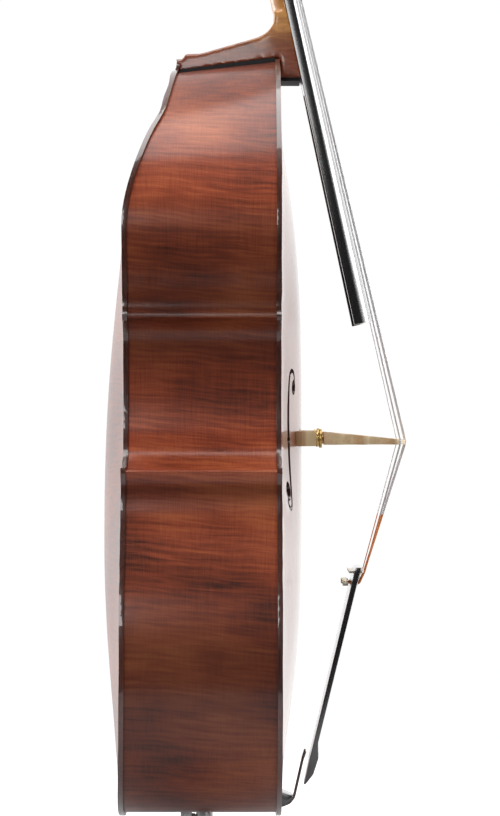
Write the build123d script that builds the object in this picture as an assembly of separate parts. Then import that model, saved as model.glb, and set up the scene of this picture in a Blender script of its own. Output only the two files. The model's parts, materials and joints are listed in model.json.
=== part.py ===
"""A three-quarter size double bass, built as its maker builds it.

Frame: +Z up along the body, +X towards the front (belly and strings), +Y towards the treble side.
The origin is the bottom centre of the endpin's rubber foot. All sizes are in millimetres.
"""

from build123d import *
import math
import os

# ---------------------------------------------------------------- driving dimensions

BODY_BOTTOM = 80.0          # lowest point of the ribs, above the endpin's foot
RIB_LENGTH = 1107.0         # ribs, from bottom to top, at the centre
RIB_FRONT = 105.0           # belly joint, from the endpin's axis
RIB_THICK = 2.2
PLATE_EDGE = 7.0            # thickness of belly and back at their edges
OVERHANG = 5.0              # plates past the ribs
BELLY_ARCH = 33.5
BELLY_ARCH_CENTRE = 607.0
BELLY_ARCH_HALF = 480.0
BACK_ARCH = 36.4
BACK_ARCH_CENTRE = 504.0
BACK_ARCH_UP = 460.0
BACK_ARCH_DOWN = 420.0
ARCH_FULLNESS = 0.6         # lower is fuller across the plate
STEP_HEIGHT = 1162.5        # underside of the heel, where it stands over the belly
TOP_LEAN = 0.116            # how much shorter the body is towards the back, at the shoulders

SCALE_LENGTH_TOP = 1646.0   # height of the nut
STRING_DIAMETERS = {"e": 2.8, "a": 2.3, "d": 1.9, "g": 1.5}
STRING_SPREAD = {"e": -1.5, "a": -0.5, "d": 0.5, "g": 1.5}
BRIDGE_SPACING = 29.0
NUT_SPACING = 10.0
TAIL_SPACING = 17.0

GLUE_SLOPE = 0.2145         # fingerboard joint, front-to-back fall per unit of height
GLUE_REF = (151.0, 1128.5)  # x and z of a point of that joint
CREST_SLOPE = 0.2298        # playing surface
CREST_REF = (249.2, 803.6)
BOARD_END = 795.0
BOARD_END_HALF = 45.0
BOARD_NUT_HALF = 21.5
BOARD_RADIUS = 75.0

BRIDGE_BACK = 618.0         # height of the bridge's tailpiece face
BRIDGE_RADIUS = 93.0
BRIDGE_CREST = 301.1
LEG_CENTRE = 57.0
LEG_BOTTOM = 176.5
FOOT_TOP = 165.0
WHEEL_RADIUS = 14.0

PEGBOX_LEAN = 27.0          # degrees behind upright
PEGBOX_LENGTH = 200.0
PEGBOX_HALF = 27.0
POST_DEPTH = -16.0
POST_HEIGHTS = {"e": 45.0, "g": 82.0, "a": 120.0, "d": 157.0}
POST_RADIUS = 5.0
GEAR_TEETH = 18
GEAR_PITCH_RADIUS = 15.0
WORM_PITCH_RADIUS = 5.0
FIT = 0.06                  # radial running fit

WIRE_RADIUS = 1.4
ENDPIN_RADIUS = 5.0
ENDPIN_TOP = 330.0
FOOT_RADIUS = 12.0
FOOT_HEIGHT = 28.0

BODY_TOP = BODY_BOTTOM + RIB_LENGTH
STRINGS = ("e", "a", "d", "g")
BASS_SIDE = ("e", "a")


# ---------------------------------------------------------------- curves and profiles

def smooth_curve(points):
    """A function through the points that never overshoots between two of them."""
    xs = [p[0] for p in points]
    ys = [p[1] for p in points]
    chords = [(ys[i + 1] - ys[i]) / (xs[i + 1] - xs[i]) for i in range(len(xs) - 1)]
    slopes = [chords[0]]
    for before, after in zip(chords, chords[1:]):
        slopes.append(0.0 if before * after <= 0 else 2 * before * after / (before + after))
    slopes.append(chords[-1])

    def value(x):
        x = min(max(x, xs[0]), xs[-1])
        i = max(k for k in range(len(xs) - 1) if xs[k] <= x)
        step = xs[i + 1] - xs[i]
        t = (x - xs[i]) / step
        return (ys[i] * (1 + 2 * t) * (1 - t) ** 2 + ys[i + 1] * t * t * (3 - 2 * t)
                + step * slopes[i] * t * (1 - t) ** 2 - step * slopes[i + 1] * t * t * (1 - t))

    return value


# Outer face of the back plate at its edge, by height: deeper at the bottom, falling in at the neck.
back_edge = smooth_curve([(60, -121.5), (80, -120.5), (140, -117.0), (200, -114.5), (260, -113.0),
                          (330, -112.5), (934, -112.4), (963, -108.9), (992, -102.4), (1022, -93.4),
                          (1053, -82.5), (1072, -74.5), (1092, -64.0), (1130, -54.0), (1174, -45.0),
                          (1215, -35.5)])

# Half width that the arching follows. It passes straight by the corners.
arch_half = smooth_curve([(60, 225), (130, 270), (200, 306), (320, 330), (420, 318), (520, 250),
                          (600, 198), (680, 182), (760, 196), (850, 236), (945, 248), (1040, 224),
                          (1110, 165), (1200, 110)])


def lean(z):
    """Share of the shoulders' lean at a height: none at the waist, all of it at the neck."""
    t = min(max((z - 1000.0) / 150.0, 0.0), 1.0)
    return t * t * (3 - 2 * t)


def leaned(z, x):
    return z - TOP_LEAN * (RIB_FRONT - x) * lean(z)


def leaned_to_back(z):
    """Height on the back plate of an outline point that is at height z on the belly."""
    lower = z
    for _ in range(4):
        lower = leaned(z, back_edge(lower) + PLATE_EDGE)
    return lower


def across(y, z):
    u = min(abs(y) / arch_half(z), 1.0)
    return (0.5 + 0.5 * math.cos(math.pi * u)) ** ARCH_FULLNESS


def belly_front(y, z):
    d = min(abs(z - BELLY_ARCH_CENTRE) / BELLY_ARCH_HALF, 1.0)
    return RIB_FRONT + PLATE_EDGE + BELLY_ARCH * (1 - d ** 3.5) ** 1.3 * across(y, z)


def back_back(y, z):
    reach = BACK_ARCH_UP if z > BACK_ARCH_CENTRE else BACK_ARCH_DOWN
    d = min(abs(z - BACK_ARCH_CENTRE) / reach, 1.0)
    return back_edge(z) - BACK_ARCH * (1 - d ** 2.2) ** 1.1 * across(y, z)


def outline_edge(*points):
    """One stretch of the half outline, as a spline of (y, height above the ribs' bottom)."""
    return Spline(*[Vector(0, y, BODY_BOTTOM + h) for y, h in points])


UPPER_BOUT = outline_edge((0, RIB_LENGTH), (40, 1104), (82, 1090), (134, 1056), (198, 987), (238, 917),
                          (254, 857), (248, 808), (233, 768), (225, 744), (233, 720))
CENTRE_BOUT = outline_edge((233, 720), (212, 713), (197, 695), (188, 662), (184, 622), (185, 582),
                           (192, 548), (208, 522), (236, 508), (281, 504))
LOWER_BOUT = outline_edge((281, 504), (271, 482), (271, 460), (281, 427), (304, 383), (325, 330),
                          (336, 262), (331, 186), (307, 118), (262, 66), (200, 28), (130, 8), (60, 1),
                          (0, 0))
BODY_DEPTH = (RIB_FRONT + 1, -140.0)
BOUTS = {"upper": UPPER_BOUT, "center": CENTRE_BOUT, "lower": LOWER_BOUT}


def bout_points(bout, offset, side, x=None, start=0.0, end=1.0, count=26):
    """Points along a bout at an offset outwards. With no x they lie on the back plate's outline."""
    points = []
    for i in range(count):
        t = start + (end - start) * i / (count - 1)
        place = bout @ t
        run = bout % t
        y = max(place.Y - offset * run.Z, 0.0)
        if t in (0.0, 1.0) and place.Y < 1.0:
            y = 0.0
        z = place.Z + offset * run.Y
        z = leaned_to_back(z) if x is None else leaned(z, x)
        points.append(Vector(x or 0.0, side * y, z))
    return points


def strip_wire(bout, side, x, outer, inner, start=0.0, end=1.0):
    near = bout_points(bout, outer, side, x, start, end)
    far = bout_points(bout, inner, side, x, start, end)
    return Wire([Spline(*near), Line(near[-1], far[-1]), Spline(*reversed(far)), Line(far[0], near[0])])


def strip(bout, side, outer, inner, start=0.0, end=1.0):
    """A bent strip of wood that follows a bout, through the whole depth of the body."""
    wires = [strip_wire(bout, side, x, outer, inner, start, end) for x in BODY_DEPTH]
    return through_body(wires, bout is UPPER_BOUT)


def through_body(wires, leans):
    """Join a front and a back outline. They only differ where the body leans."""
    if leans:
        return Solid.make_loft(wires, True)
    return Solid.extrude(Face(wires[0]), Vector(BODY_DEPTH[1] - BODY_DEPTH[0], 0, 0))


def plate_face(x, on_back):
    """The plates' outline, with its blunt corners."""
    where = None if on_back else RIB_FRONT
    edges = []
    loop = [("upper", 1, False), ("center", 1, False), ("lower", 1, False),
            ("lower", -1, True), ("center", -1, True), ("upper", -1, True)]
    last = None
    for name, side, backwards in loop:
        points = bout_points(BOUTS[name], OVERHANG, side, where)
        points = [Vector(x, p.Y, p.Z) for p in points]
        if backwards:
            points.reverse()
        if last is not None and (last - points[0]).length > 0.01:
            edges.append(Line(last, points[0]))
        edges.append(Spline(*points))
        last = points[-1]
    return Face(Wire(edges))


def xz_prism(points, half_width):
    """Extrude a side-view outline of (x, z) points across the body."""
    outline = Polyline(*[Vector(x, -half_width, z) for x, z in points], close=True)
    return Solid.extrude(Face(Wire(outline)), Vector(0, 2 * half_width, 0))


def body_trim(front, depth=None):
    """All that lies between the back plate's joint and front, or within depth of that joint."""
    wide = 400.0
    heights = [50 + 1170.0 * i / 39 for i in range(40)]
    back = [Vector(back_edge(z) + PLATE_EDGE, -wide, z) for z in heights]
    if depth is None:
        fore = [Line(back[-1], Vector(front, -wide, back[-1].Z)),
                Line(Vector(front, -wide, back[-1].Z), Vector(front, -wide, back[0].Z)),
                Line(Vector(front, -wide, back[0].Z), back[0])]
    else:
        far = [p + Vector(depth, 0, 0) for p in back]
        fore = [Line(back[-1], far[-1]), Spline(*reversed(far)), Line(far[0], back[0])]
    return Solid.extrude(Face(Wire([Spline(*back)] + fore)), Vector(0, 2 * wide, 0))


def height_field(surface):
    rows = [-352 + 704.0 * i / 32 for i in range(33)]
    columns = [30 + 1200.0 * i / 60 for i in range(61)]
    grid = [[Vector(surface(y, z), y, z) for z in columns] for y in rows]
    return Face.make_surface_from_array_of_points(grid, tol=0.02)


def rounded_bar(radius, start, end):
    """A round rod between two points."""
    start = Vector(*start)
    run = Vector(*end) - start
    return Plane(origin=start, z_dir=run) * Cylinder(radius, run.length, align=(Align.CENTER,
                                                                               Align.CENTER, Align.MIN))


def glue_x(z):
    return GLUE_REF[0] - GLUE_SLOPE * (z - GLUE_REF[1])


def crest_x(z):
    return CREST_REF[0] - CREST_SLOPE * (z - CREST_REF[1])


def board_half(z):
    share = (SCALE_LENGTH_TOP - z) / (SCALE_LENGTH_TOP - BOARD_END)
    return BOARD_NUT_HALF + (BOARD_END_HALF - BOARD_NUT_HALF) * share


def circle_drop(y, radius):
    return radius - math.sqrt(radius ** 2 - y ** 2)


# ---------------------------------------------------------------- body

def cavity_face(x, bottom, top, margin=18.0):
    """Where the plates are hollowed, inside the linings."""
    right = []
    for i in range(1, 14):
        z = bottom + (top - bottom) * (0.5 - 0.5 * math.cos(math.pi * i / 14))
        end_fade = math.sin(math.pi * i / 14) ** 0.35
        right.append((max(arch_half(z) - margin, 20.0) * end_fade, z))
    loop = [Vector(x, 0, bottom)] + [Vector(x, y, z) for y, z in right]
    loop += [Vector(x, 0, top)] + [Vector(x, -y, z) for y, z in reversed(right)]
    return Face(Wire([Spline(*loop, periodic=True)]))


def sound_hole(side):
    """One f-shaped hole: a stem of changing width between two round eyes, nicked at its middle."""
    path = [(101, 706), (104, 718), (113, 727), (125, 724), (132, 708), (135, 680), (138, 650),
            (140, 626.8), (142, 603), (146, 570), (151, 542), (159, 528), (170, 527), (176, 538), (173, 550)]
    widths = [3.0, 3.2, 3.6, 4.4, 5.4, 6.0, 6.2, 6.2, 6.2, 6.2, 5.8, 4.8, 4.0, 3.6, 3.2]
    line = Spline(*[Vector(0, y, z) for y, z in path])
    left = []
    right = []
    for i, half in enumerate(widths):
        t = i / (len(widths) - 1)
        place = line @ t
        run = line % t
        left.append(Vector(0, side * (place.Y - half * run.Z), place.Z + half * run.Y))
        right.append(Vector(0, side * (place.Y + half * run.Z), place.Z - half * run.Y))
    stem = Face(Wire([Spline(*left), Line(left[-1], right[-1]), Spline(*reversed(right)),
                      Line(right[0], left[0])]))
    hole = Solid.extrude(stem, Vector(200, 0, 0))
    for y, z, radius in ((104, 702, 11.0), (169, 553, 14.0)):
        hole += rounded_bar(radius, (0, side * y, z), (200, side * y, z))
    hole += Pos(100, side * 140, 626.8) * Rot(45, 0, 0) * Box(200, 14, 14)
    return hole


def plates():
    """Belly, back, and the spaces under the belly's inner and outer faces."""
    under_belly = Solid.extrude(height_field(belly_front), Vector(-75, 0, 0))
    over_back = Solid.extrude(height_field(back_back), Vector(75, 0, 0))
    inside_belly = Pos(-PLATE_EDGE, 0, 0) * under_belly
    inside_back = Pos(PLATE_EDGE, 0, 0) * over_back

    belly = Solid.extrude(plate_face(RIB_FRONT, False), Vector(60, 0, 0)) & under_belly
    belly -= Solid.extrude(cavity_face(RIB_FRONT - 1, 142.0, 1072.0), Vector(60, 0, 0)) & inside_belly
    for side in (-1, 1):
        belly -= sound_hole(side)

    button = rounded_bar(21.0, (-170, 0, BODY_TOP - 14), (-20, 0, BODY_TOP - 14))
    outline = Solid.extrude(plate_face(-170.0, True), Vector(150, 0, 0)) + button
    back = outline & over_back
    back -= body_trim(130.0)
    back -= Solid.extrude(cavity_face(-20, 106.0, 950.0), Vector(-150, 0, 0)) & inside_back
    return belly, back, inside_belly, under_belly


def ribs():
    made = {}
    for side, word in ((-1, "bass"), (1, "treble")):
        for name, bout in BOUTS.items():
            made[f"rib_{name}_{word}"] = strip(bout, side, 0.0, -RIB_THICK)
        centre = made[f"rib_center_{word}"] - made[f"rib_upper_{word}"] - made[f"rib_lower_{word}"]
        made[f"rib_center_{word}"] = max(centre.solids(), key=lambda piece: piece.volume)
    return made


def end_piece(bout, start, end, level, side_ribs):
    """A block across the body's centre line, cut to the ribs that it is glued to."""
    wires = []
    for x in BODY_DEPTH:
        right = bout_points(bout, -RIB_THICK / 2, 1, x, start, end, 12)
        left = [Vector(p.X, -p.Y, p.Z) for p in right]
        if right[0].Y > right[-1].Y:
            right.reverse()
            left.reverse()
        inner_z = level if x > 0 else leaned(level, x)
        wires.append(Wire([Spline(*right), Line(right[-1], Vector(x, right[-1].Y, inner_z)),
                           Line(Vector(x, right[-1].Y, inner_z), Vector(x, left[-1].Y, inner_z)),
                           Line(Vector(x, left[-1].Y, inner_z), left[-1]), Spline(*reversed(left))]))
    block = through_body(wires, bout is UPPER_BOUT)
    for rib in side_ribs:
        block -= rib
    return block


def corner_block(bout, at_end, side, side_ribs):
    """The triangle of wood inside one corner. at_end: the outer bout ends at this corner."""
    bout_span = (0.90, 0.985) if at_end else (0.008, 0.07)
    centre_span = (0.02, 0.17) if at_end else (0.98, 0.83)
    if not at_end:
        bout_span = (bout_span[1], bout_span[0])
    outer = bout_points(bout, -RIB_THICK / 2, side, RIB_FRONT, *bout_span, 6)
    inner = bout_points(CENTRE_BOUT, -RIB_THICK / 2, side, RIB_FRONT, *centre_span, 6)
    face = Face(Wire(Polyline(*outer, *inner, close=True)))
    block = Solid.extrude(face, Vector(-2 * RIB_FRONT - 30, 0, 0))
    for rib in side_ribs:
        block = block - rib
    return max(block.solids(), key=lambda piece: piece.volume)


def linings(band, blocks):
    """Narrow strips that widen the ribs' glued edge, between the blocks."""
    spans = {"upper": (0.12, 0.90), "center": (0.17, 0.83), "lower": (0.08, 0.90)}
    pieces = []
    for side in (-1, 1):
        for name, bout in BOUTS.items():
            piece = strip(bout, side, -RIB_THICK - 0.1, -RIB_THICK - 3.1, *spans[name]) & band
            for block in blocks:
                piece -= block
            pieces += [s for s in piece.solids() if s.volume > 500]
    return Compound(pieces)


def inner_parts(belly, back, inside_belly):
    bar_profile = [(60, 190), (96, 300), (92, 500), (88, 626), (92, 750), (100, 900), (112, 1010),
                   (170, 1010), (170, 190)]
    bar = Pos(0, -48, 0) * xz_prism(bar_profile, 12.0)
    bar &= inside_belly
    bar = max(bar.solids(), key=lambda s: s.volume)
    post = rounded_bar(8.5, (-141, 47, 592), (139, 47, 592)) - belly - back
    return bar, max(post.solids(), key=lambda piece: piece.volume)


def saddle():
    profile = [(RIB_FRONT, 80.0), (114, 80.0), (119, 80.8), (123.5, 83.0), (127.5, 86.0), (131, 89.6),
               (132, 92.2), (130.5, 94.4), (113, 101.0), (RIB_FRONT, 101.0)]
    block = xz_prism(profile, 22.0)
    taper = Polyline((RIB_FRONT - 1, -22), (113, -22), (134, -14.5), (134, 14.5), (113, 22),
                     (RIB_FRONT - 1, 22), close=True)
    return block & (Pos(0, 0, 60) * extrude(make_face(taper), 60))


def endpin():
    """Plug, clamp ring, its thumb screw, and the rod with its rubber foot."""
    down = (Align.CENTER, Align.CENTER, Align.MAX)
    up = (Align.CENTER, Align.CENTER, Align.MIN)
    bottom = BODY_BOTTOM
    plug = Pos(0, 0, bottom - 10) * Cylinder(17, 9.7, align=up)
    plug = chamfer(plug.edges().group_by(Axis.Z)[0], 2.5)
    plug += Pos(0, 0, bottom - 1) * Cone(12, 10.5, 50, align=up)
    plug -= Pos(0, 0, bottom - 12) * Cylinder(ENDPIN_RADIUS + FIT, 90, align=up)
    collar = Pos(0, 0, bottom - 10.2) * Cylinder(12.5, 17, align=down)
    collar = chamfer(collar.edges().group_by(Axis.Z)[0], 1.5)
    collar -= Pos(0, 0, bottom - 30) * Cylinder(ENDPIN_RADIUS + FIT, 30, align=up)
    screw_z = bottom - 18.5
    collar -= rounded_bar(3.06, (-20, 0, screw_z), (0, 0, screw_z))
    screw = rounded_bar(3.0, (-ENDPIN_RADIUS - 0.05, 0, screw_z), (-15, 0, screw_z))
    screw += rounded_bar(4.5, (-14, 0, screw_z), (-19, 0, screw_z))
    wing = Pos(-27, 0, screw_z) * Box(17, 4, 24)
    wing = fillet(wing.edges().filter_by(Axis.Y), 7.5)
    screw += wing
    rod = Pos(0, 0, 6) * Cylinder(ENDPIN_RADIUS, ENDPIN_TOP - 6, align=up)
    rod = chamfer(rod.edges().group_by(Axis.Z)[-1], 1.5)
    foot = Cylinder(FOOT_RADIUS, FOOT_HEIGHT - 6, align=up)
    foot += Pos(0, 0, FOOT_HEIGHT - 6) * Cone(FOOT_RADIUS, 7.5, 6, align=up)
    foot -= Pos(0, 0, 6) * Cylinder(ENDPIN_RADIUS, 40, align=up)
    return plug, collar, screw, rod, foot


# ---------------------------------------------------------------- neck, fingerboard, pegbox

GLUE_ANGLE = math.atan(GLUE_SLOPE)
NUT_POINT = Vector(glue_x(SCALE_LENGTH_TOP), 0, SCALE_LENGTH_TOP)
BOARD_PLANE = Plane(origin=NUT_POINT, x_dir=(math.cos(GLUE_ANGLE), 0, math.sin(GLUE_ANGLE)),
                    z_dir=(math.sin(GLUE_ANGLE), 0, -math.cos(GLUE_ANGLE)))
PEG_ANGLE = math.radians(PEGBOX_LEAN)
PEG_PLANE = Plane(origin=NUT_POINT, x_dir=(math.cos(PEG_ANGLE), 0, math.sin(PEG_ANGLE)),
                  z_dir=(0, -1, 0))


def along_board(z):
    return (SCALE_LENGTH_TOP - z) / math.cos(GLUE_ANGLE)


def board_section(distance, crest, half, lowered=0.0):
    """Section of the fingerboard: flat below, straight sides, round on top."""
    side = crest - circle_drop(half, BOARD_RADIUS) - lowered
    top = crest - lowered
    corners = [(0.0, -half), (side, -half), (top, 0.0), (side, half), (0.0, half)]
    places = [BOARD_PLANE.from_local_coords(Vector(x, y, distance)) for x, y in corners]
    return Wire([Line(places[0], places[1]), ThreePointArc(*places[1:4]), Line(places[3], places[4]),
                 Line(places[4], places[0])])


def fingerboard():
    nut_crest = (crest_x(SCALE_LENGTH_TOP) - glue_x(SCALE_LENGTH_TOP)) * math.cos(GLUE_ANGLE)
    end_crest = (crest_x(BOARD_END) - glue_x(BOARD_END)) * math.cos(GLUE_ANGLE)
    length = along_board(BOARD_END)
    board = Solid.make_loft([board_section(0.0, nut_crest, BOARD_NUT_HALF),
                             board_section(length, end_crest, BOARD_END_HALF)], True)
    start = along_board(1140)
    wires = []
    for distance, half, deep in ((start, 17.0, 3.0), (start + 60, 26.0, 12.0), (length + 5, 36.0, 17.0)):
        corners = [(-1.0, -half), (deep * 0.45, -half), (deep, 0.0), (deep * 0.45, half), (-1.0, half)]
        places = [BOARD_PLANE.from_local_coords(Vector(x, y, distance)) for x, y in corners]
        wires.append(Wire([Line(places[0], places[1]), ThreePointArc(*places[1:4]),
                           Line(places[3], places[4]), Line(places[4], places[0])]))
    return board - Solid.make_loft(wires, True)


def neck_section(distance, half, depth):
    corners = [(0.0, -half), (-depth, 0.0), (0.0, half)]
    places = [BOARD_PLANE.from_local_coords(Vector(x, y, distance)) for x, y in corners]
    return Wire([ThreePointArc(*places), Line(places[2], places[0])])


def neck_shaft():
    stations = [(SCALE_LENGTH_TOP, 24.0), (1500, 22.5), (1380, 21.0), (1250, 20.0)]
    wires = [neck_section(along_board(z), board_half(z), depth) for z, depth in stations]
    return Solid.make_loft(wires, True)


def heel_line(x):
    """Height of the joint between the heel and the top of the ribs."""
    return BODY_TOP + OVERHANG - TOP_LEAN * (RIB_FRONT - x)


def heel_plan():
    """The heel seen from above: it narrows towards the button."""
    plan = [(170, 35), (112, 34), (70, 31), (20, 26), (-20, 21.5), (-42, 19)]
    right = [Vector(x, y, 1100) for x, y in plan]
    left = [Vector(x, -y, 1100) for x, y in plan]
    face = Face(Wire([Spline(*right), Line(right[-1], left[-1]), Spline(*reversed(left)),
                      Line(left[0], right[0])]))
    return Solid.extrude(face, Vector(0, 0, 200))


def heel_shims(cutters):
    """Ebony between the heel and the ribs, and a strip of it under the heel on the belly."""
    ends = (-37.0, RIB_FRONT)
    slab = [(x, heel_line(x)) for x in ends] + [(x, heel_line(x) - 14.0) for x in reversed(ends)]
    shim = xz_prism(slab, 40.0) & heel_plan()
    for cutter in cutters:
        shim = shim - cutter
    shim = max(shim.solids(), key=lambda piece: piece.volume)
    strip_low = STEP_HEIGHT - 5.0
    front = glue_x(STEP_HEIGHT) - 1.0
    under = Pos((RIB_FRONT + PLATE_EDGE + front) / 2, 0, strip_low + 2.45) \
        * Box(front - RIB_FRONT - PLATE_EDGE, 62, 4.9)
    return Compound([shim, (under - cutters[1]).solid()])


def heel():
    """The neck's foot: it stands over the belly's edge and runs back to the button."""
    z_top = 1262.0
    step_z = STEP_HEIGHT
    front_x = RIB_FRONT + PLATE_EDGE
    crown = [(102.3, z_top), (103.4, 1253.4), (102.4, 1243.5), (97.8, 1235.5), (91.8, 1229.6),
             (80.8, 1223.7), (60.9, 1217.7), (17.0, 1205.9), (-27.0, 1194.0), (-42.0, 1189.5)]
    lower = [(-42.0, heel_line(-42.0)), (front_x, heel_line(front_x)), (front_x, step_z),
             (glue_x(step_z), step_z), (glue_x(z_top), z_top)]
    wide = 40.0
    places = [Vector(x, -wide, z) for x, z in crown]
    edges = [Spline(*places)]
    corners = [places[-1]] + [Vector(x, -wide, z) for x, z in lower] + [places[0]]
    edges += [Line(a, b) for a, b in zip(corners, corners[1:])]
    block = Solid.extrude(Face(Wire(edges)), Vector(0, 2 * wide, 0))
    block &= heel_plan()
    front = [(35.2, 1150), (board_half(1200), 1200), (board_half(z_top), z_top)]
    slope = Polyline(*[Vector(-60, y, z) for y, z in front],
                     *[Vector(-60, -y, z) for y, z in reversed(front)], close=True)
    block &= Solid.extrude(Face(Wire(slope)), Vector(300, 0, 0))
    tenon = Pos(41, 0, 1182) * Box(142.0, 40, 36)
    return block + tenon


def scroll_points():
    """The volute's outer turn, from the pegbox's back, over the top and down to its throat."""
    centre_q, centre_p = -24.0, PEGBOX_LENGTH + 52.0
    points = []
    for degrees, radius in ((180, 49), (150, 51), (120, 51.5), (90, 50.5), (60, 48.5), (30, 46),
                            (0, 43), (-30, 39.5), (-60, 36), (-90, 33)):
        a = math.radians(degrees)
        points.append((centre_q + radius * math.cos(a), centre_p + radius * math.sin(a)))
    return points


def pegbox():
    back = [(-25.5, -6), (-39, 18), (-46, 60), (-51, 110), (-57, 160), (-66, 205)]
    front = [(-7, 214), (2, 198), (5, 150), (7, 80), (8, 17), (2.0, 7.75)]
    spiral = scroll_points()
    curve = Spline(*[Vector(q, p, 0) for q, p in back + spiral[:1]])
    volute = Spline(*[Vector(q, p, 0) for q, p in spiral], tangents=[Vector(0, 1, 0), Vector(-1, 0, 0)])
    throat = Line(Vector(*spiral[-1], 0), Vector(*front[0], 0))
    fore = Polyline(*[Vector(q, p, 0) for q, p in front])
    base = Polyline(Vector(*front[-1], 0), Vector(0, 0, 0), Vector(-2, -6, 0), Vector(*back[0], 0))
    face = Face(Wire([curve, volute, throat, *fore.edges(), *base.edges()]))
    block = Pos(0, 0, -PEGBOX_HALF) * Solid.extrude(face, Vector(0, 0, 2 * PEGBOX_HALF))
    channel = Polyline((20, 6), (-22, 12), (-33, 30), (-38, 110), (-42, 176), (-30, 190), (20, 190),
                       close=True)
    channel = Pos(0, 0, -16) * extrude(make_face(channel), 32)
    block -= channel
    centre = Pos(-24, PEGBOX_LENGTH + 52, 0)
    block += centre * Pos(-1, 2, 0) * Cylinder(32, 64)
    block += centre * Cylinder(21, 74)
    block += centre * Cylinder(12, 82)
    return PEG_PLANE * block


def machine_axis(name):
    """Sideways direction of a machine: local +z is the bass side."""
    return 1 if name in BASS_SIDE else -1


def post_holes():
    holes = []
    for name, p in POST_HEIGHTS.items():
        side = machine_axis(name)
        near = Pos(POST_DEPTH, p, side * 22) * Cylinder(7.0, 24)
        far = Pos(POST_DEPTH, p, -side * 18) * Cylinder(POST_RADIUS + FIT, 14)
        holes.append(PEG_PLANE * (near + far))
    return holes


# ---------------------------------------------------------------- tuning machines

PLATE_INNER = PEGBOX_HALF
PLATE_OUTER = PEGBOX_HALF + 1.6
BOSS = 3.9
GEAR_INNER = PLATE_OUTER + BOSS + 0.3
GEAR_WIDE = 5.0
WORM_LEVEL = GEAR_INNER + GEAR_WIDE / 2
WORM_RISE = GEAR_PITCH_RADIUS + WORM_PITCH_RADIUS
WORM_LEAD = 2 * math.pi * GEAR_PITCH_RADIUS / GEAR_TEETH
WORM_HALF = 7.5
THREAD_LENGTH = 11.8
JOURNAL = 3.2


def machine_plate(side):
    """Engraved-shape brass plate for two machines, with lugs that hold the worms."""
    names = [n for n in STRINGS if machine_axis(n) == side]
    low = min(POST_HEIGHTS[n] for n in names) - 30
    high = max(POST_HEIGHTS[n] for n in names) + 36
    plate = Pos(POST_DEPTH, (low + high) / 2, 0) * Box(38, high - low, 1.6)
    plate = fillet(plate.edges().filter_by(Axis.Z), 14)
    plate = Pos(0, 0, side * (PLATE_INNER + 0.8)) * plate
    for name in names:
        p = POST_HEIGHTS[name]
        lug_high = WORM_LEVEL + 5.0 - PLATE_OUTER
        lug_z = side * (PLATE_OUTER + lug_high / 2)
        for q in (POST_DEPTH - WORM_HALF - 3.3, POST_DEPTH + WORM_HALF + 3.3):
            lug = Pos(q, p + WORM_RISE, lug_z) * Box(5, 11, lug_high)
            plate += lug
        plate += Pos(POST_DEPTH, p, side * (PLATE_OUTER + BOSS / 2)) * Cylinder(8.0, BOSS)
        shaft = Pos(POST_DEPTH, p + WORM_RISE, side * WORM_LEVEL) * Rot(0, 90, 0)
        plate -= shaft * Cylinder(JOURNAL + FIT, 40)
        plate -= Pos(POST_DEPTH, p, side * PLATE_INNER) * Cylinder(POST_RADIUS + FIT, 20)
    return PEG_PLANE * plate


def tooth_wheel(side):
    """Worm wheel. Its teeth are slanted by the worm's lead angle."""
    tip = GEAR_PITCH_RADIUS + 1.0
    root = GEAR_PITCH_RADIUS - 1.5
    step = 2 * math.pi / GEAR_TEETH
    points = []
    for i in range(GEAR_TEETH):
        centre = math.pi / 2 + (i + 0.5) * step
        for radius, half in ((root, 1.55), (tip, 0.8), (tip, -0.8), (root, -1.55)):
            a = centre - half / radius
            points.append((radius * math.cos(a), radius * math.sin(a)))
    face = make_face(Polyline(*points, close=True))
    slant = math.degrees(GEAR_WIDE * WORM_LEAD / (2 * math.pi * WORM_PITCH_RADIUS) / GEAR_PITCH_RADIUS)
    twist = side * slant
    wheel = Solid.extrude_linear_with_rotation(face.face(), (0, 0, 0), (0, 0, GEAR_WIDE), twist)
    return Rot(0, 0, -twist / 2) * Pos(0, 0, -GEAR_WIDE / 2) * wheel


def machine_gear(name):
    side = machine_axis(name)
    gear = tooth_wheel(side)
    gear += Pos(0, 0, side * (GEAR_WIDE / 2 + 1.5)) * Cylinder(7.5, 3.0)
    gear -= Cylinder(3.5, 30)
    return PEG_PLANE * Pos(POST_DEPTH, POST_HEIGHTS[name], side * WORM_LEVEL) * gear


def machine_post(name):
    """Post that the string winds on, with a stepped end for the gear and a round nut."""
    side = machine_axis(name)
    inner_end = -side * 24.5
    outer_end = side * (GEAR_INNER - 0.2)
    post = Pos(0, 0, (inner_end + outer_end) / 2) * Cylinder(POST_RADIUS, abs(outer_end - inner_end))
    post += Pos(0, 0, side * (GEAR_INNER + 4.5)) * Cylinder(3.5, 9.4)
    post += Pos(0, 0, side * (GEAR_INNER + GEAR_WIDE + 3.0 + 1.1)) * Cylinder(5.2, 2.2)
    return PEG_PLANE * Pos(POST_DEPTH, POST_HEIGHTS[name], 0) * post


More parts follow.
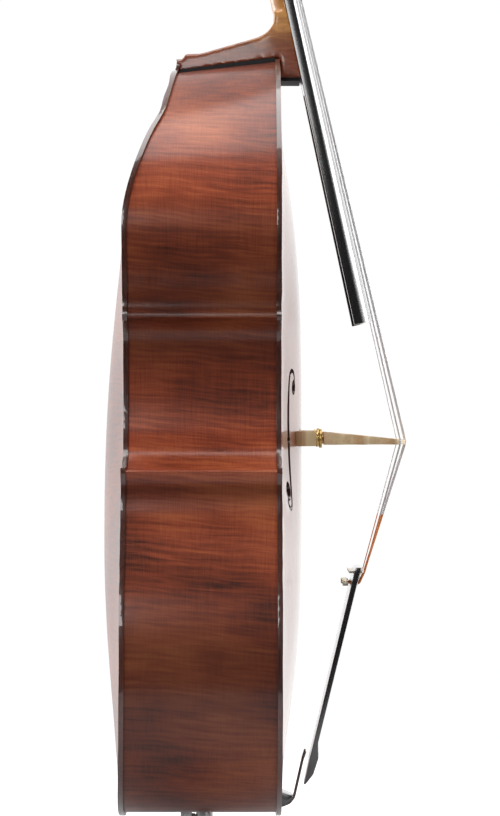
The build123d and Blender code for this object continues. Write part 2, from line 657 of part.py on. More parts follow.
def machine_key(name):
    """Worm, its shaft and the wing that is turned by hand."""
    side = machine_axis(name)
    root = WORM_PITCH_RADIUS - 1.4
    helix = Helix(WORM_LEAD, THREAD_LENGTH, root - 0.3, lefthand=side < 0)
    profile = Polyline((-0.3, -1.6), (3.0, -0.72), (3.0, 0.72), (-0.3, 1.6), close=True)
    start = Plane(origin=helix @ 0, x_dir=(1, 0, 0), z_dir=(0, -1, 0))
    thread = sweep(start * make_face(profile), helix, is_frenet=True)
    thread = Pos(0, 0, -THREAD_LENGTH / 2) * thread
    ridge = 180 * THREAD_LENGTH / WORM_LEAD
    thread = Rot(0, 0, 270 - side * ridge) * thread
    shaft = Cylinder(root, 2 * WORM_HALF)
    worm = shaft + thread
    worm += Pos(0, 0, WORM_HALF + 3.0) * Cylinder(JOURNAL, 6.4)
    worm += Pos(0, 0, -WORM_HALF - 14) * Cylinder(JOURNAL, 28.4)
    worm += Pos(0, 0, -WORM_HALF - 28) * Cone(JOURNAL, 5.5, 8)
    wing = Pos(0, 0, -WORM_HALF - 46) * Box(4.6, 34, 32)
    wing = fillet(wing.edges().filter_by(Axis.X), 13)
    worm += wing
    place = PEG_PLANE * Pos(POST_DEPTH, POST_HEIGHTS[name] + WORM_RISE, side * WORM_LEVEL)
    return place * Rot(0, 90, 0) * worm


def machine_screws():
    screws = []
    for side in (-1, 1):
        names = [n for n in STRINGS if machine_axis(n) == side]
        low = min(POST_HEIGHTS[n] for n in names) - 24
        high = max(POST_HEIGHTS[n] for n in names) + 30
        middle = (POST_HEIGHTS[names[0]] + POST_HEIGHTS[names[1]]) / 2 + 6
        for q, p in ((POST_DEPTH, low), (POST_DEPTH, high), (POST_DEPTH - 12, middle),
                     (POST_DEPTH + 12, middle)):
            screw = Pos(0, 0, side * (PLATE_OUTER + 0.9)) * Cylinder(3.4, 1.8)
            screw += Pos(0, 0, side * (PLATE_OUTER - 4)) * Cylinder(1.5, 8.0)
            screws.append(PEG_PLANE * Pos(q, p, 0) * screw)
    return screws


# ---------------------------------------------------------------- strings and what holds them

def string_radius(name):
    return STRING_DIAMETERS[name] / 2


def bridge_point(name):
    y = BRIDGE_SPACING * STRING_SPREAD[name]
    x = BRIDGE_CREST - circle_drop(y, BRIDGE_RADIUS) + string_radius(name) * 0.5
    return Vector(x, y, BRIDGE_BACK + 3.5)


def nut_point(name):
    y = NUT_SPACING * STRING_SPREAD[name]
    crest = crest_x(SCALE_LENGTH_TOP) + 1.2 - circle_drop(y, BOARD_RADIUS)
    return Vector(crest + string_radius(name), y, SCALE_LENGTH_TOP + 4.0)


def winding_y(name):
    return {"e": -7.8, "a": -6.5, "d": 6.0, "g": 8.0}[name]


def post_touch(name):
    """Point where the string runs onto its winding, on the front of the post."""
    gap = POST_RADIUS + 2 * string_radius(name) + 0.25 + string_radius(name)
    start = PEG_PLANE.to_local_coords(nut_point(name))
    centre = Vector(POST_DEPTH, POST_HEIGHTS[name], 0)
    to_post = Vector(centre.X - start.X, centre.Y - start.Y, 0)
    reach = to_post.length
    turn = math.asin(gap / reach)
    along = math.atan2(to_post.Y, to_post.X) - turn
    length = math.sqrt(reach ** 2 - gap ** 2)
    local = Vector(start.X + length * math.cos(along), start.Y + length * math.sin(along),
                   -winding_y(name))
    return PEG_PLANE.from_local_coords(local)


TAIL_TOP = (236.0, 435.5)       # front edge of the tailpiece's upper end, x and z
TAIL_SLOPE = 0.2495


def tail_front(z):
    return TAIL_TOP[0] - TAIL_SLOPE * (TAIL_TOP[1] - z)


def fret_point(name):
    y = TAIL_SPACING * STRING_SPREAD[name]
    z = 429.0
    return Vector(tail_front(z) + 4.0 - circle_drop(y, 240.0) + string_radius(name), y, z)


def hole_point(name):
    y = TAIL_SPACING * STRING_SPREAD[name]
    return Vector(tail_front(411.0) - circle_drop(y, 245.0) + string_radius(name) + 0.1, y, 411.0)


def string_route(name):
    hole = hole_point(name)
    ball = Vector(hole.X - 16.0, hole.Y, hole.Z + 1.5)
    return [ball, hole, fret_point(name), bridge_point(name), nut_point(name), post_touch(name)]


def string_tube(name):
    route = string_route(name)
    path = FilletPolyline(*route, radius=[4.0, 12.0, 16.0, 16.0])
    start = Plane(origin=route[0], z_dir=route[1] - route[0])
    return sweep(start * Circle(string_radius(name)), path)


def ball_ends():
    balls = []
    for name in STRINGS:
        place = string_route(name)[0] - Vector(3.4, 0, 0)
        balls.append(Pos(place.X - 1.0, place.Y, place.Z) * Rot(0, 90, 0) * Cylinder(4.6, 8.0))
    return Compound(balls)


def winding(name):
    """String wound on its post."""
    outer = POST_RADIUS + STRING_DIAMETERS[name]
    sleeve = Cylinder(outer, 5 * STRING_DIAMETERS[name] + 1) - Cylinder(POST_RADIUS, 60)
    return PEG_PLANE * Pos(POST_DEPTH, POST_HEIGHTS[name], -winding_y(name)) * sleeve


def string_grooves(start_of, end_of):
    """Round grooves for the strings, cut along their run."""
    grooves = []
    for name in STRINGS:
        a = start_of(name)
        b = end_of(name)
        out = (b - a).normalized() * 30.0
        grooves.append(rounded_bar(string_radius(name) + 0.05, tuple(a - out), tuple(b + out)))
    return grooves


def nut():
    z = SCALE_LENGTH_TOP
    half = BOARD_NUT_HALF
    top = (crest_x(z) - glue_x(z)) * math.cos(GLUE_ANGLE) + 2.6
    side = top - circle_drop(half, BOARD_RADIUS)
    places = [Vector(0, -half), Vector(side, -half), Vector(top, 0), Vector(side, half), Vector(0, half)]
    outline = [Line(places[0], places[1]), ThreePointArc(*places[1:4]), Line(places[3], places[4]),
               Line(places[4], places[0])]
    block = BOARD_PLANE * Pos(0, 0, -8.0) * extrude(make_face(outline), 8.0)
    for groove in string_grooves(bridge_point, nut_point) + string_grooves(nut_point, post_touch):
        block -= groove
    return block


def bridge_outline():
    """Front view of the bridge's upper piece, as (y, x) on one side, from leg to crest."""
    crest_end = 52.0
    leg = [(73, LEG_BOTTOM), (75, 188)]
    knee = [(75, 188), (71, 201), (58, 211), (54, 220), (61, 229), (67, 236)]
    hollow = [(63, 241), (46, 247), (38.5, 258), (41, 271), (crest_end + 1, 281.5)]
    end_x = BRIDGE_CREST - circle_drop(crest_end, BRIDGE_RADIUS)
    arch = [(40, LEG_BOTTOM), (38, 188), (26, 199), (0, 204)]
    edges = []
    for side in (1, -1):
        def place(point):
            return Vector(point[1], side * point[0], BRIDGE_BACK)
        edges.append(Line(place(leg[0]), place(leg[1])))
        edges.append(Spline(*[place(p) for p in knee]))
        edges.append(Line(place(knee[-1]), place(hollow[0])))
        edges.append(Spline(*[place(p) for p in hollow]))
        edges.append(Line(place(hollow[-1]), place((crest_end, end_x))))
        edges.append(Line(place(leg[0]), place(arch[0])))
        edges.append(Spline(*[place(p) for p in arch], tangents=[Vector(1, 0, 0), Vector(0, -side, 0)]))
    edges.append(ThreePointArc(Vector(end_x, crest_end, BRIDGE_BACK), Vector(BRIDGE_CREST, 0, BRIDGE_BACK),
                               Vector(end_x, -crest_end, BRIDGE_BACK)))
    return Face(Wire.combine(edges)[0])


def bridge():
    """Upper piece, two feet and the two threaded wheels between them."""
    top = Solid.extrude(bridge_outline(), Vector(0, 0, 30))
    side_view = [(LEG_BOTTOM - 1, BRIDGE_BACK), (LEG_BOTTOM - 1, BRIDGE_BACK + 18.5),
                 (232, BRIDGE_BACK + 13.5), (300, BRIDGE_BACK + 6.5), (303, BRIDGE_BACK + 6),
                 (303, BRIDGE_BACK)]
    top &= xz_prism(side_view, 100.0)
    middle = BRIDGE_BACK + 9.25
    heart = [(0, 262), (10, 254), (13, 244), (6, 237), (0, 231)]
    right = [Vector(x, y, BRIDGE_BACK) for y, x in heart]
    left = [Vector(x, -y, BRIDGE_BACK) for y, x in reversed(heart)]
    top -= Solid.extrude(Face(Wire([Spline(*right), Spline(*left)])), Vector(0, 0, 30))
    for side in (-1, 1):
        eye = Pos(221, side * 27, middle) * Rot(0, 0, side * 20) * scale(Cylinder(9, 40), (0.75, 1.25, 1))
        top -= eye
        top -= rounded_bar(4.0 + FIT, (LEG_BOTTOM - 2, side * LEG_CENTRE, middle),
                           (LEG_BOTTOM + 22, side * LEG_CENTRE, middle))
    for groove in string_grooves(fret_point, bridge_point) + string_grooves(bridge_point, nut_point):
        top -= groove
    parts = {"bridge_top": top}
    for side, word in ((-1, "bass"), (1, "treble")):
        view = [(43, FOOT_TOP), (71, FOOT_TOP), (74, 158), (89, 144), (90, 120), (32, 120), (33, 151),
                (41, 158)]
        outline = Polyline(*[Vector(x, side * y, BRIDGE_BACK - 2) for y, x in view], close=True)
        foot = Solid.extrude(Face(Wire(outline)), Vector(0, 0, 22))
        foot -= rounded_bar(3.0 + FIT, (FOOT_TOP - 11, side * LEG_CENTRE, middle),
                            (FOOT_TOP + 2, side * LEG_CENTRE, middle))
        wheel = rounded_bar(WHEEL_RADIUS, (169.6, side * LEG_CENTRE, middle),
                            (174.0, side * LEG_CENTRE, middle))
        wheel = chamfer(wheel.edges().filter_by(GeomType.CIRCLE), 0.7)
        wheel += rounded_bar(12.4, (FOOT_TOP + 0.15, side * LEG_CENTRE, middle),
                             (FOOT_TOP + 3.0, side * LEG_CENTRE, middle))
        wheel += rounded_bar(5.0, (FOOT_TOP + 2, side * LEG_CENTRE, middle),
                             (170, side * LEG_CENTRE, middle))
        wheel += rounded_bar(3.0, (FOOT_TOP - 10, side * LEG_CENTRE, middle),
                             (FOOT_TOP + 1, side * LEG_CENTRE, middle))
        wheel += rounded_bar(4.0, (173, side * LEG_CENTRE, middle),
                             (LEG_BOTTOM + 20, side * LEG_CENTRE, middle))
        parts[f"bridge_foot_{word}"] = foot
        parts[f"bridge_adjuster_{word}"] = wheel
    return parts


def tail_section(z, front, back, half, drop):
    """Level section of the tailpiece: flat behind, straight sides, slightly round in front."""
    corners = [(back, -half), (front - drop, -half), (front, 0.0), (front - drop, half), (back, half)]
    places = [Vector(x, y, z) for x, y in corners]
    return Wire([Line(places[0], places[1]), ThreePointArc(*places[1:4]), Line(places[3], places[4]),
                 Line(places[4], places[0])])


def tailpiece():
    stations = [(435.5, tail_front(435.5), 225.6, 43.0, 3.8), (430.0, tail_front(430), 222.6, 43.5, 3.8),
                (173.8, tail_front(173.8), 162.4, 25.0, 1.6), (150.0, 171.0, 156.6, 23.5, 1.6),
                (126.0, 163.8, 151.8, 20.0, 2.0), (111.0, 151.6, 148.4, 14.0, 0.8)]
    body = Solid.make_loft([tail_section(*s) for s in stations], True)
    for name in STRINGS:
        y = TAIL_SPACING * STRING_SPREAD[name]
        body -= rounded_bar(4.0, (205, y, 413.5), (245, y, 410.0))
    for side in (-1, 1):
        body -= rounded_bar(1.9, (140, side * 12, 150.0), (180, side * 12, 158.0))
    return body


def tail_fret():
    """Raised bar that the strings bend over."""
    places = []
    for y in (-41.0, 0.0, 41.0):
        places.append(Vector(tail_front(429.0) + 3.6 - circle_drop(y, 240.0), y, 429.0))
    bar = [Line(Vector(215, -41, 429), places[0]), ThreePointArc(*places),
           Line(places[2], Vector(215, 41, 429)), Line(Vector(215, 41, 429), Vector(215, -41, 429))]
    fret = Pos(0, 0, -1.6) * Solid.extrude(Face(Wire(bar)), Vector(0, 0, 3.2))
    for groove in string_grooves(fret_point, bridge_point) + string_grooves(hole_point, fret_point):
        fret -= groove
    return fret


def tail_wire(radius):
    """Steel rope from the tailpiece, over the saddle and round the endpin's plug."""
    low = BODY_BOTTOM - WIRE_RADIUS - 0.1
    route = [Vector(150.8, -12, 160), Vector(146.6, -12, 146.5), Vector(134.2, -12.5, 91.8),
             Vector(127.8, -12.7, 83.2), Vector(116.0, -13, low), Vector(60, -15.5, low - 0.05),
             Vector(8, -18.6, low), Vector(-12, -18.6, low), Vector(-18.6, -12, low), Vector(-18.6, 12, low),
             Vector(-12, 18.6, low), Vector(8, 18.6, low), Vector(60, 15.5, low - 0.05),
             Vector(116.0, 13, low), Vector(127.8, 12.7, 83.2), Vector(134.2, 12.5, 91.8),
             Vector(146.6, 12, 146.5),
             Vector(150.8, 12, 160)]
    half = [4.0, 9.0, 12.0, 12.0, 40.0, 30.0, 7.0, 7.0]
    radii = half + half[::-1]
    path = FilletPolyline(*route, radius=radii)
    start = Plane(origin=route[0], z_dir=route[1] - route[0])
    return sweep(start * Circle(radius), path)


# ---------------------------------------------------------------- assembly

def build():
    nodes = {}
    belly, back, inside_belly, under_belly = plates()
    nodes.update(ribs())
    trim = body_trim(RIB_FRONT)

    upper = [nodes["rib_upper_bass"], nodes["rib_upper_treble"]]
    lower = [nodes["rib_lower_bass"], nodes["rib_lower_treble"]]
    nodes["neck_block"] = end_piece(UPPER_BOUT, 0.0, 0.17, BODY_TOP - 70, upper)
    nodes["end_block"] = end_piece(LOWER_BOUT, 0.90, 1.0, BODY_BOTTOM + 45, lower)
    corners = {"upper": [], "lower": []}
    for side, word in ((-1, "bass"), (1, "treble")):
        for name in corners:
            near = [nodes[f"rib_{name}_{word}"], nodes[f"rib_center_{word}"]]
            corners[name].append(corner_block(BOUTS[name], name == "upper", side, near))
    for name, pair in corners.items():
        nodes[f"{name}_corner_blocks"] = Compound([block & trim for block in pair])
    for name in list(nodes):
        if "corner_blocks" not in name:
            nodes[name] = nodes[name] & trim

    blocks = [nodes["neck_block"], nodes["end_block"]]
    blocks += list(nodes["upper_corner_blocks"].solids()) + list(nodes["lower_corner_blocks"].solids())
    front_band = Pos(RIB_FRONT - 9, 0, 640) * Box(18, 800, 1300)
    nodes["front_linings"] = linings(front_band, blocks)
    nodes["back_linings"] = linings(body_trim(0, 18.0), blocks)
    nodes["bass_bar"], nodes["sound_post"] = inner_parts(belly, back, inside_belly)

    nodes["saddle"] = saddle() - tail_wire(WIRE_RADIUS + 0.03)
    belly -= Pos(RIB_FRONT + 10, 0, 81) * Box(40, 44.1, 40.2)
    plug, collar, screw, rod, foot = endpin()
    for name in ("end_block", "rib_lower_bass", "rib_lower_treble"):
        nodes[name] -= plug + rounded_bar(7, (0, 0, 70), (0, 0, 140))
    nodes["endpin_plug"] = plug
    nodes["endpin_collar"] = collar
    nodes["endpin_thumbscrew"] = screw
    nodes["endpin_rod"] = rod
    nodes["endpin_foot"] = foot

    neck = neck_shaft() + heel() + pegbox()
    neck -= back
    for hole in post_holes():
        neck -= hole
    screws = machine_screws()
    for screw in screws:
        neck -= screw
    belly -= neck
    for name in ("rib_upper_bass", "rib_upper_treble", "neck_block"):
        nodes[name] -= neck
    nodes["belly"] = belly
    nodes["back_plate"] = back
    nodes["neck"] = neck
    nodes["heel_shims"] = heel_shims([neck, belly, back, nodes["rib_upper_bass"],
                                      nodes["rib_upper_treble"], nodes["neck_block"]])
    nodes["fingerboard"] = fingerboard()
    nodes["nut"] = nut()

    nodes.update(bridge())
    for word in ("bass", "treble"):
        nodes[f"bridge_foot_{word}"] -= under_belly
    nodes["tailpiece"] = tailpiece()
    nodes["tailpiece_fret"] = tail_fret() - nodes["tailpiece"]
    nodes["tail_wire"] = tail_wire(WIRE_RADIUS)
    nodes["string_ball_ends"] = ball_ends()
    for name in STRINGS:
        nodes[f"string_{name}"] = string_tube(name)
        nodes[f"string_winding_{name}"] = winding(name)
        nodes[f"tuner_post_{name}"] = machine_post(name)
        nodes[f"tuner_gear_{name}"] = machine_gear(name)
        nodes[f"tuner_key_{name}"] = machine_key(name)
    for side, word in ((1, "bass"), (-1, "treble")):
        plate = machine_plate(side)
        for screw in screws:
            plate -= screw
        nodes[f"machine_plate_{word}"] = plate
    nodes["machine_screws"] = Compound([s.solid() for s in screws])
    return nodes


os.makedirs("parts", exist_ok=True)
for node, shape in build().items():
    print(node, round(shape.volume))
    export_step(shape, f"parts/{node}.step")
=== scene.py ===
"""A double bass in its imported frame: plates, ribs, neck, machines, bridge and strings."""

import json
import logging
import math
from dataclasses import dataclass
from enum import Enum

import bmesh
import bpy
from mathutils import Matrix, Vector
from mathutils.bvhtree import BVHTree


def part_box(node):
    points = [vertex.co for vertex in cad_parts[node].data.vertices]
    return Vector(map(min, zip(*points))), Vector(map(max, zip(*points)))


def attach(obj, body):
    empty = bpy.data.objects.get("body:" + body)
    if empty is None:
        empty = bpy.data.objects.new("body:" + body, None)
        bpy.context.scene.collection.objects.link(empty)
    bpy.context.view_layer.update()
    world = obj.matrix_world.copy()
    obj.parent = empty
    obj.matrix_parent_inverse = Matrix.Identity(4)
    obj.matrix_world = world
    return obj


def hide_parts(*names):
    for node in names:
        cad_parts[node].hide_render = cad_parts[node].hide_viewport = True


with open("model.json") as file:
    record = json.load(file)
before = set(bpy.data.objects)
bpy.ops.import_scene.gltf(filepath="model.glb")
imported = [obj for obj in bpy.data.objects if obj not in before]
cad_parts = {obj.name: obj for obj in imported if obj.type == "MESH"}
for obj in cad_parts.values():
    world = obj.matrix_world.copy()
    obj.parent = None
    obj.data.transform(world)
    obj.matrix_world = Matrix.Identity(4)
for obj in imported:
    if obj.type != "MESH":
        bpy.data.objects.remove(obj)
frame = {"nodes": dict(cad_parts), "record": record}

Colour = tuple[float, float, float]
Spot = tuple[float, float, float]

logging.basicConfig(level=logging.INFO, format="%(message)s")
LOG = logging.getLogger("double_bass")
STRINGS = ("e", "a", "d", "g")
SIDES = ("bass", "treble")
# Faces that meet at less than this angle, in degrees, count as one flat region.
FLAT_DEGREES = 0.6
# The height that the ribs' painted light and shade is given over, in metres.
PAINTED_LIGHT_HEIGHT = 1.2
# Painted light and shade on the ribs, from 0 to 1, at heights in metres: darker below the corners,
# lighter where the ribs tilt up to the light.
RIB_PAINTED_LIGHT = (
    (0.10, 0.32),
    (0.27, 0.24),
    (0.34, 0.26),
    (0.43, 0.6),
    (0.53, 0.7),
    (0.56, 0.28),
    (0.58, 0.7),
    (0.64, 1.0),
    (0.69, 0.75),
    (0.76, 0.28),
    (0.85, 0.33),
    (0.92, 0.5),
    (0.98, 0.8),
    (1.15, 0.42),
)


class Flow(Enum):
    """How flamed maple lies.

    Each value holds the weights of its flames, then those of its fine grain, along X, Y and Z.
    """

    RIB = ((0.06, 0.5, 1.0), (1.0, 0.06, 0.024))
    BACK = ((0.3, 0.04, 1.0), (0.3, 1.0, 0.024))


class Axis(Enum):
    """The direction in which a wood's grain or a metal's brushing runs."""

    X = (0.03, 1.0, 1.0)
    Y = (1.0, 0.03, 1.0)
    Z = (1.0, 1.0, 0.03)


class Wire:
    """A shader socket that takes part in Python arithmetic."""

    def __init__(self, paint: "Paint", socket: bpy.types.NodeSocket) -> None:
        """Wraps one output socket of a material's nodes."""
        self.paint = paint
        self.socket = socket

    def _math(self, operation: str, first: object, second: object) -> "Wire":
        """Adds one Math node and returns its value."""
        return self.paint.node("ShaderNodeMath", {"operation": operation}, {0: first, 1: second})

    def __add__(self, other: object) -> "Wire":
        """self + other."""
        return self._math("ADD", self, other)

    __radd__ = __add__

    def __sub__(self, other: object) -> "Wire":
        """self - other."""
        return self._math("SUBTRACT", self, other)

    def __rsub__(self, other: object) -> "Wire":
        """other - self."""
        return self._math("SUBTRACT", other, self)

    def __mul__(self, other: object) -> "Wire":
        """self * other."""
        return self._math("MULTIPLY", self, other)

    __rmul__ = __mul__


class Paint:
    """The nodes of one material, written as expressions."""

    def __init__(self, name: str) -> None:
        """Starts an empty material."""
        self.material = bpy.data.materials.new(name)
        self.material.use_nodes = True
        self.tree = self.material.node_tree
        self.tree.nodes.clear()
        self.place = self.node("ShaderNodeTexCoord", output="Object")

    def node(
        self,
        kind: str,
        settings: dict | None = None,
        sockets: dict | None = None,
        output: int | str = 0,
    ) -> Wire:
        """Adds a node.

        Args:
            kind: the node's type.
            settings: attributes set first; "stops" fills a ramp with (place, colour) pairs.
            sockets: values or wires for the input sockets, by name or number.
            output: the output socket wanted.

        Returns:
            The wanted output as a Wire.
        """
        made = self.tree.nodes.new(kind)
        for key, value in (settings or {}).items():
            if key == "stops":
                self._stops(made.color_ramp, value)
            else:
                setattr(made, key, value)
        for key, value in (sockets or {}).items():
            if isinstance(value, Wire):
                self.tree.links.new(value.socket, made.inputs[key])
            else:
                made.inputs[key].default_value = value
        return Wire(self, made.outputs[output])

    @staticmethod
    def _stops(ramp: bpy.types.ColorRamp, stops: list) -> None:
        """Fills a colour ramp."""
        while len(ramp.elements) < len(stops):
            ramp.elements.new(1.0)
        for element, (place, colour) in zip(ramp.elements, stops):
            element.position = place
            element.color = (*colour, 1.0)

    def stretch(self, vector: Wire, factors: tuple[float, float, float]) -> Wire:
        """Scales a vector by a factor along each axis."""
        return self.node("ShaderNodeVectorMath", {"operation": "MULTIPLY"}, {0: vector, 1: factors})

    def noise(
        self, vector: Wire, detail: float = 3.0, roughness: float = 0.5, twist: float = 0.0
    ) -> Wire:
        """A soft uneven value from 0 to 1, at the scale that the vector has.

        Args:
            vector: the place, stretched to the wanted scale.
            detail: how many finer layers are added.
            roughness: how strong the finer layers are.
            twist: how much the pattern is bent.

        Returns:
            The value.
        """
        sockets = {"Vector": vector, "Scale": 1.0, "Detail": detail}
        sockets |= {"Roughness": roughness, "Distortion": twist}
        return self.node("ShaderNodeTexNoise", None, sockets)

    def part(self, axis: str) -> Wire:
        """One coordinate of the surface point, in metres."""
        return self.node("ShaderNodeSeparateXYZ", None, {0: self.place}, output=axis)

    def step(self, value: Wire, low: float, high: float) -> Wire:
        """0 below low and 1 above high, smooth between."""
        settings = {"interpolation_type": "SMOOTHSTEP"}
        return self.node("ShaderNodeMapRange", settings, {0: value, 1: low, 2: high})

    def zigzag(self, value: Wire, period: float) -> Wire:
        """A value that runs from 0 to 1 and back in each period."""
        wave = self.node("ShaderNodeMath", {"operation": "PINGPONG"}, {0: value, 1: period * 0.5})
        return wave * (2.0 / period)

    def ramp(self, value: Wire, stops: list) -> Wire:
        """A colour for each value."""
        return self.node("ShaderNodeValToRGB", {"stops": stops}, {0: value})

    def mix(
        self,
        factor: Wire | float,
        first: Wire | Colour,
        second: Wire | Colour,
        kind: str = "MIX",
    ) -> Wire:
        """Blends two colours.

        Args:
            factor: the second colour's share.
            first: the colour at factor 0.
            second: the colour at factor 1.
            kind: how the two are blended.

        Returns:
            The blended colour.
        """
        ends = [end if isinstance(end, Wire) else (*end, 1.0) for end in (first, second)]
        settings = {"data_type": "RGBA", "blend_type": kind}
        return self.node("ShaderNodeMix", settings, {0: factor, 6: ends[0], 7: ends[1]}, output=2)

    def bump(self, height: Wire, depth: float, strength: float = 1.0) -> Wire:
        """A surface relief from a height of 0 to 1, depth metres deep."""
        sockets = {"Strength": strength, "Distance": depth, "Height": height}
        return self.node("ShaderNodeBump", None, sockets, "Normal")

    def finish(self, **sockets: object) -> bpy.types.Material:
        """Ends the material with its shader; a name's underscores stand for spaces."""
        named = {name.replace("_", " "): value for name, value in sockets.items()}
        for name, value in named.items():
            if name in ("Base Color", "Emission Color") and not isinstance(value, Wire):
                named[name] = (*value, 1.0)
        shader = self.node("ShaderNodeBsdfPrincipled", None, named)
        end = self.tree.nodes.new("ShaderNodeOutputMaterial")
        self.tree.links.new(shader.socket, end.inputs["Surface"])
        return self.material


@dataclass(frozen=True)
class FlamedMaple:
    """Varnished maple whose flame stripes run across the grain."""

    name: str
    dark: Colour
    middle: Colour
    light: Colour
    flow: Flow = Flow.RIB
    stripes: float = 215.0
    fineness: float = 950.0
    slant: float = 0.08
    coat: float = 0.5
    gloss: float = 0.2
    body: float = 0.5

    def material(self) -> bpy.types.Material:
        """Returns the finish as a material."""
        paint = Paint(self.name)
        x, y, z = (paint.part(axis) for axis in "XYZ")
        sway = paint.noise(paint.stretch(paint.place, (9.0, 7.0, 7.0)), 2.0)
        lift = x * self.slant + sway * 0.014
        flow = paint.node("ShaderNodeCombineXYZ", None, {0: x, 1: y, 2: z + lift})
        wide = tuple(self.stripes * share for share in self.flow.value[0])
        fine = tuple(self.fineness * share for share in self.flow.value[1])
        flame = paint.noise(paint.stretch(flow, wide), 4.0, 0.6, 0.25)
        broad = paint.noise(paint.stretch(paint.place, (5.0, 4.0, 6.0)), 2.0)
        grain = paint.noise(paint.stretch(paint.place, fine), 2.0, 0.6)
        depth = flame * 0.36 + broad * 0.58 + grain * 0.15
        wood = paint.ramp(depth, [(0.4, self.dark), (0.55, self.middle), (0.76, self.light)])
        fleck = paint.step(grain, 0.62, 0.8)
        wood = paint.mix(fleck * 0.3, wood, self.dark)
        # The ribs' colour is multiplied by painted light and shade that changes with height.
        if self.flow is Flow.RIB:
            stops = [(place / PAINTED_LIGHT_HEIGHT, (tone, tone, tone)) for place, tone in RIB_PAINTED_LIGHT]
            painted_light = paint.ramp(z * (1.0 / PAINTED_LIGHT_HEIGHT), stops)
            wood = paint.mix(1.0, wood, painted_light, "MULTIPLY")
        relief = paint.bump(grain * 0.5 + flame * 0.5, 0.00006, 0.35)
        return paint.finish(
            Base_Color=wood,
            Roughness=self.body + flame * 0.12,
            Specular_IOR_Level=0.2,
            Coat_Weight=self.coat,
            Coat_Roughness=self.gloss,
            Normal=relief,
        )


@dataclass(frozen=True)
class NeckMaple:
    """Oiled maple that turns from amber on the shaft to red-brown at heel and pegbox."""

    name: str = "neck_maple"
    amber: Colour = (0.52, 0.20, 0.045)
    pale: Colour = (0.80, 0.42, 0.12)
    brown: Colour = (0.36, 0.085, 0.024)
    deep: Colour = (0.14, 0.03, 0.012)
    heel_fade: tuple[float, float] = (1.205, 1.275)
    head_fade: tuple[float, float] = (1.60, 1.66)

    def material(self) -> bpy.types.Material:
        """Returns the finish as a material."""
        paint = Paint(self.name)
        z = paint.part("Z")
        flame = paint.noise(paint.stretch(paint.place, (26.0, 26.0, 95.0)), 3.0, 0.6, 0.6)
        grain = paint.noise(paint.stretch(paint.place, (700.0, 700.0, 24.0)), 2.0, 0.6)
        bare = paint.ramp(flame * 0.8 + grain * 0.2, [(0.35, self.amber), (0.7, self.pale)])
        stained = paint.ramp(flame * 0.75 + grain * 0.25, [(0.35, self.deep), (0.7, self.brown)])
        heel = 1.0 - paint.step(z + flame * 0.02, *self.heel_fade)
        head = paint.step(z + flame * 0.02, *self.head_fade)
        wood = paint.mix(heel + head, bare, stained)
        relief = paint.bump(grain, 0.00008, 0.4)
        return paint.finish(
            Base_Color=wood,
            Roughness=0.4 - grain * 0.06,
            Coat_Weight=0.5,
            Coat_Roughness=0.15,
            Normal=relief,
        )


@dataclass(frozen=True)
class Spruce:
    """Varnished spruce with its straight year rings."""

    name: str = "spruce_varnished"
    ring: Colour = (0.085, 0.017, 0.007)
    wood: Colour = (0.29, 0.075, 0.022)
    rings: float = 620.0

    def material(self) -> bpy.types.Material:
        """Returns the finish as a material."""
        paint = Paint(self.name)
        sway = paint.noise(paint.stretch(paint.place, (1.0, 12.0, 1.6)), 2.0)
        y = paint.part("Y") + sway * 0.012
        lines = paint.node("ShaderNodeCombineXYZ", None, {0: 0.0, 1: y, 2: paint.part("Z") * 0.01})
        year = paint.noise(paint.stretch(lines, (1.0, self.rings, 1.0)), 1.0, 0.5)
        cloud = paint.noise(paint.stretch(paint.place, (4.0, 6.0, 3.0)), 3.0)
        wood = paint.ramp(year * 0.7 + cloud * 0.3, [(0.3, self.ring), (0.62, self.wood)])
        relief = paint.bump(year, 0.0001, 0.35)
        return paint.finish(
            Base_Color=wood,
            Roughness=0.45,
            Specular_IOR_Level=0.2,
            Coat_Weight=0.85,
            Coat_Roughness=0.1,
            Normal=relief,
        )


@dataclass(frozen=True)
class PlainWood:
    """Wood with fine grain along one axis and a few dark pores."""

    name: str
    dark: Colour
    light: Colour
    grain: Axis = Axis.Z
    fineness: float = 520.0
    rough: float = 0.45
    coat: float = 0.0
    gloss: float = 0.15
    coat_index: float = 1.5
    relief: float = 0.0001

    def material(self) -> bpy.types.Material:
        """Returns the finish as a material."""
        paint = Paint(self.name)
        scale = tuple(self.fineness * factor for factor in self.grain.value)
        streak = paint.noise(paint.stretch(paint.place, scale), 3.0, 0.65)
        cloud = paint.noise(paint.stretch(paint.place, (14.0, 14.0, 9.0)), 3.0)
        wood = paint.ramp(streak * 0.7 + cloud * 0.3, [(0.34, self.dark), (0.66, self.light)])
        relief = paint.bump(streak, self.relief, 0.45)
        return paint.finish(
            Base_Color=wood,
            Roughness=self.rough + streak * 0.1,
            Coat_Weight=self.coat,
            Coat_Roughness=self.gloss,
            Coat_IOR=self.coat_index,
            Normal=relief,
        )


@dataclass(frozen=True)
class BridgeMaple:
    """Bare quarter-sawn maple with short silky flecks."""

    name: str = "bridge_maple"
    wood: Colour = (0.78, 0.60, 0.36)
    fleck: Colour = (0.56, 0.34, 0.15)
    foot_dark: Colour = (0.42, 0.20, 0.08)
    foot_fade: tuple[float, float] = (0.147, 0.153)

    def material(self) -> bpy.types.Material:
        """Returns the finish as a material."""
        paint = Paint(self.name)
        streak = paint.noise(paint.stretch(paint.place, (420.0, 90.0, 420.0)), 3.0, 0.65)
        flecks = paint.noise(paint.stretch(paint.place, (260.0, 900.0, 900.0)), 2.0, 0.6)
        wood = paint.mix(paint.step(flecks, 0.56, 0.68) * 0.6, self.wood, self.fleck)
        wood = paint.mix(streak * 0.35, wood, self.fleck)
        # The wood is made darker towards the foot, where the bridge stands on the belly.
        foot = 1.0 - paint.step(paint.part("X") + streak * 0.002, *self.foot_fade)
        wood = paint.mix(foot * 0.7, wood, self.foot_dark)
        relief = paint.bump(streak, 0.0001, 0.4)
        return paint.finish(Base_Color=wood, Roughness=0.5 + streak * 0.1, Normal=relief)


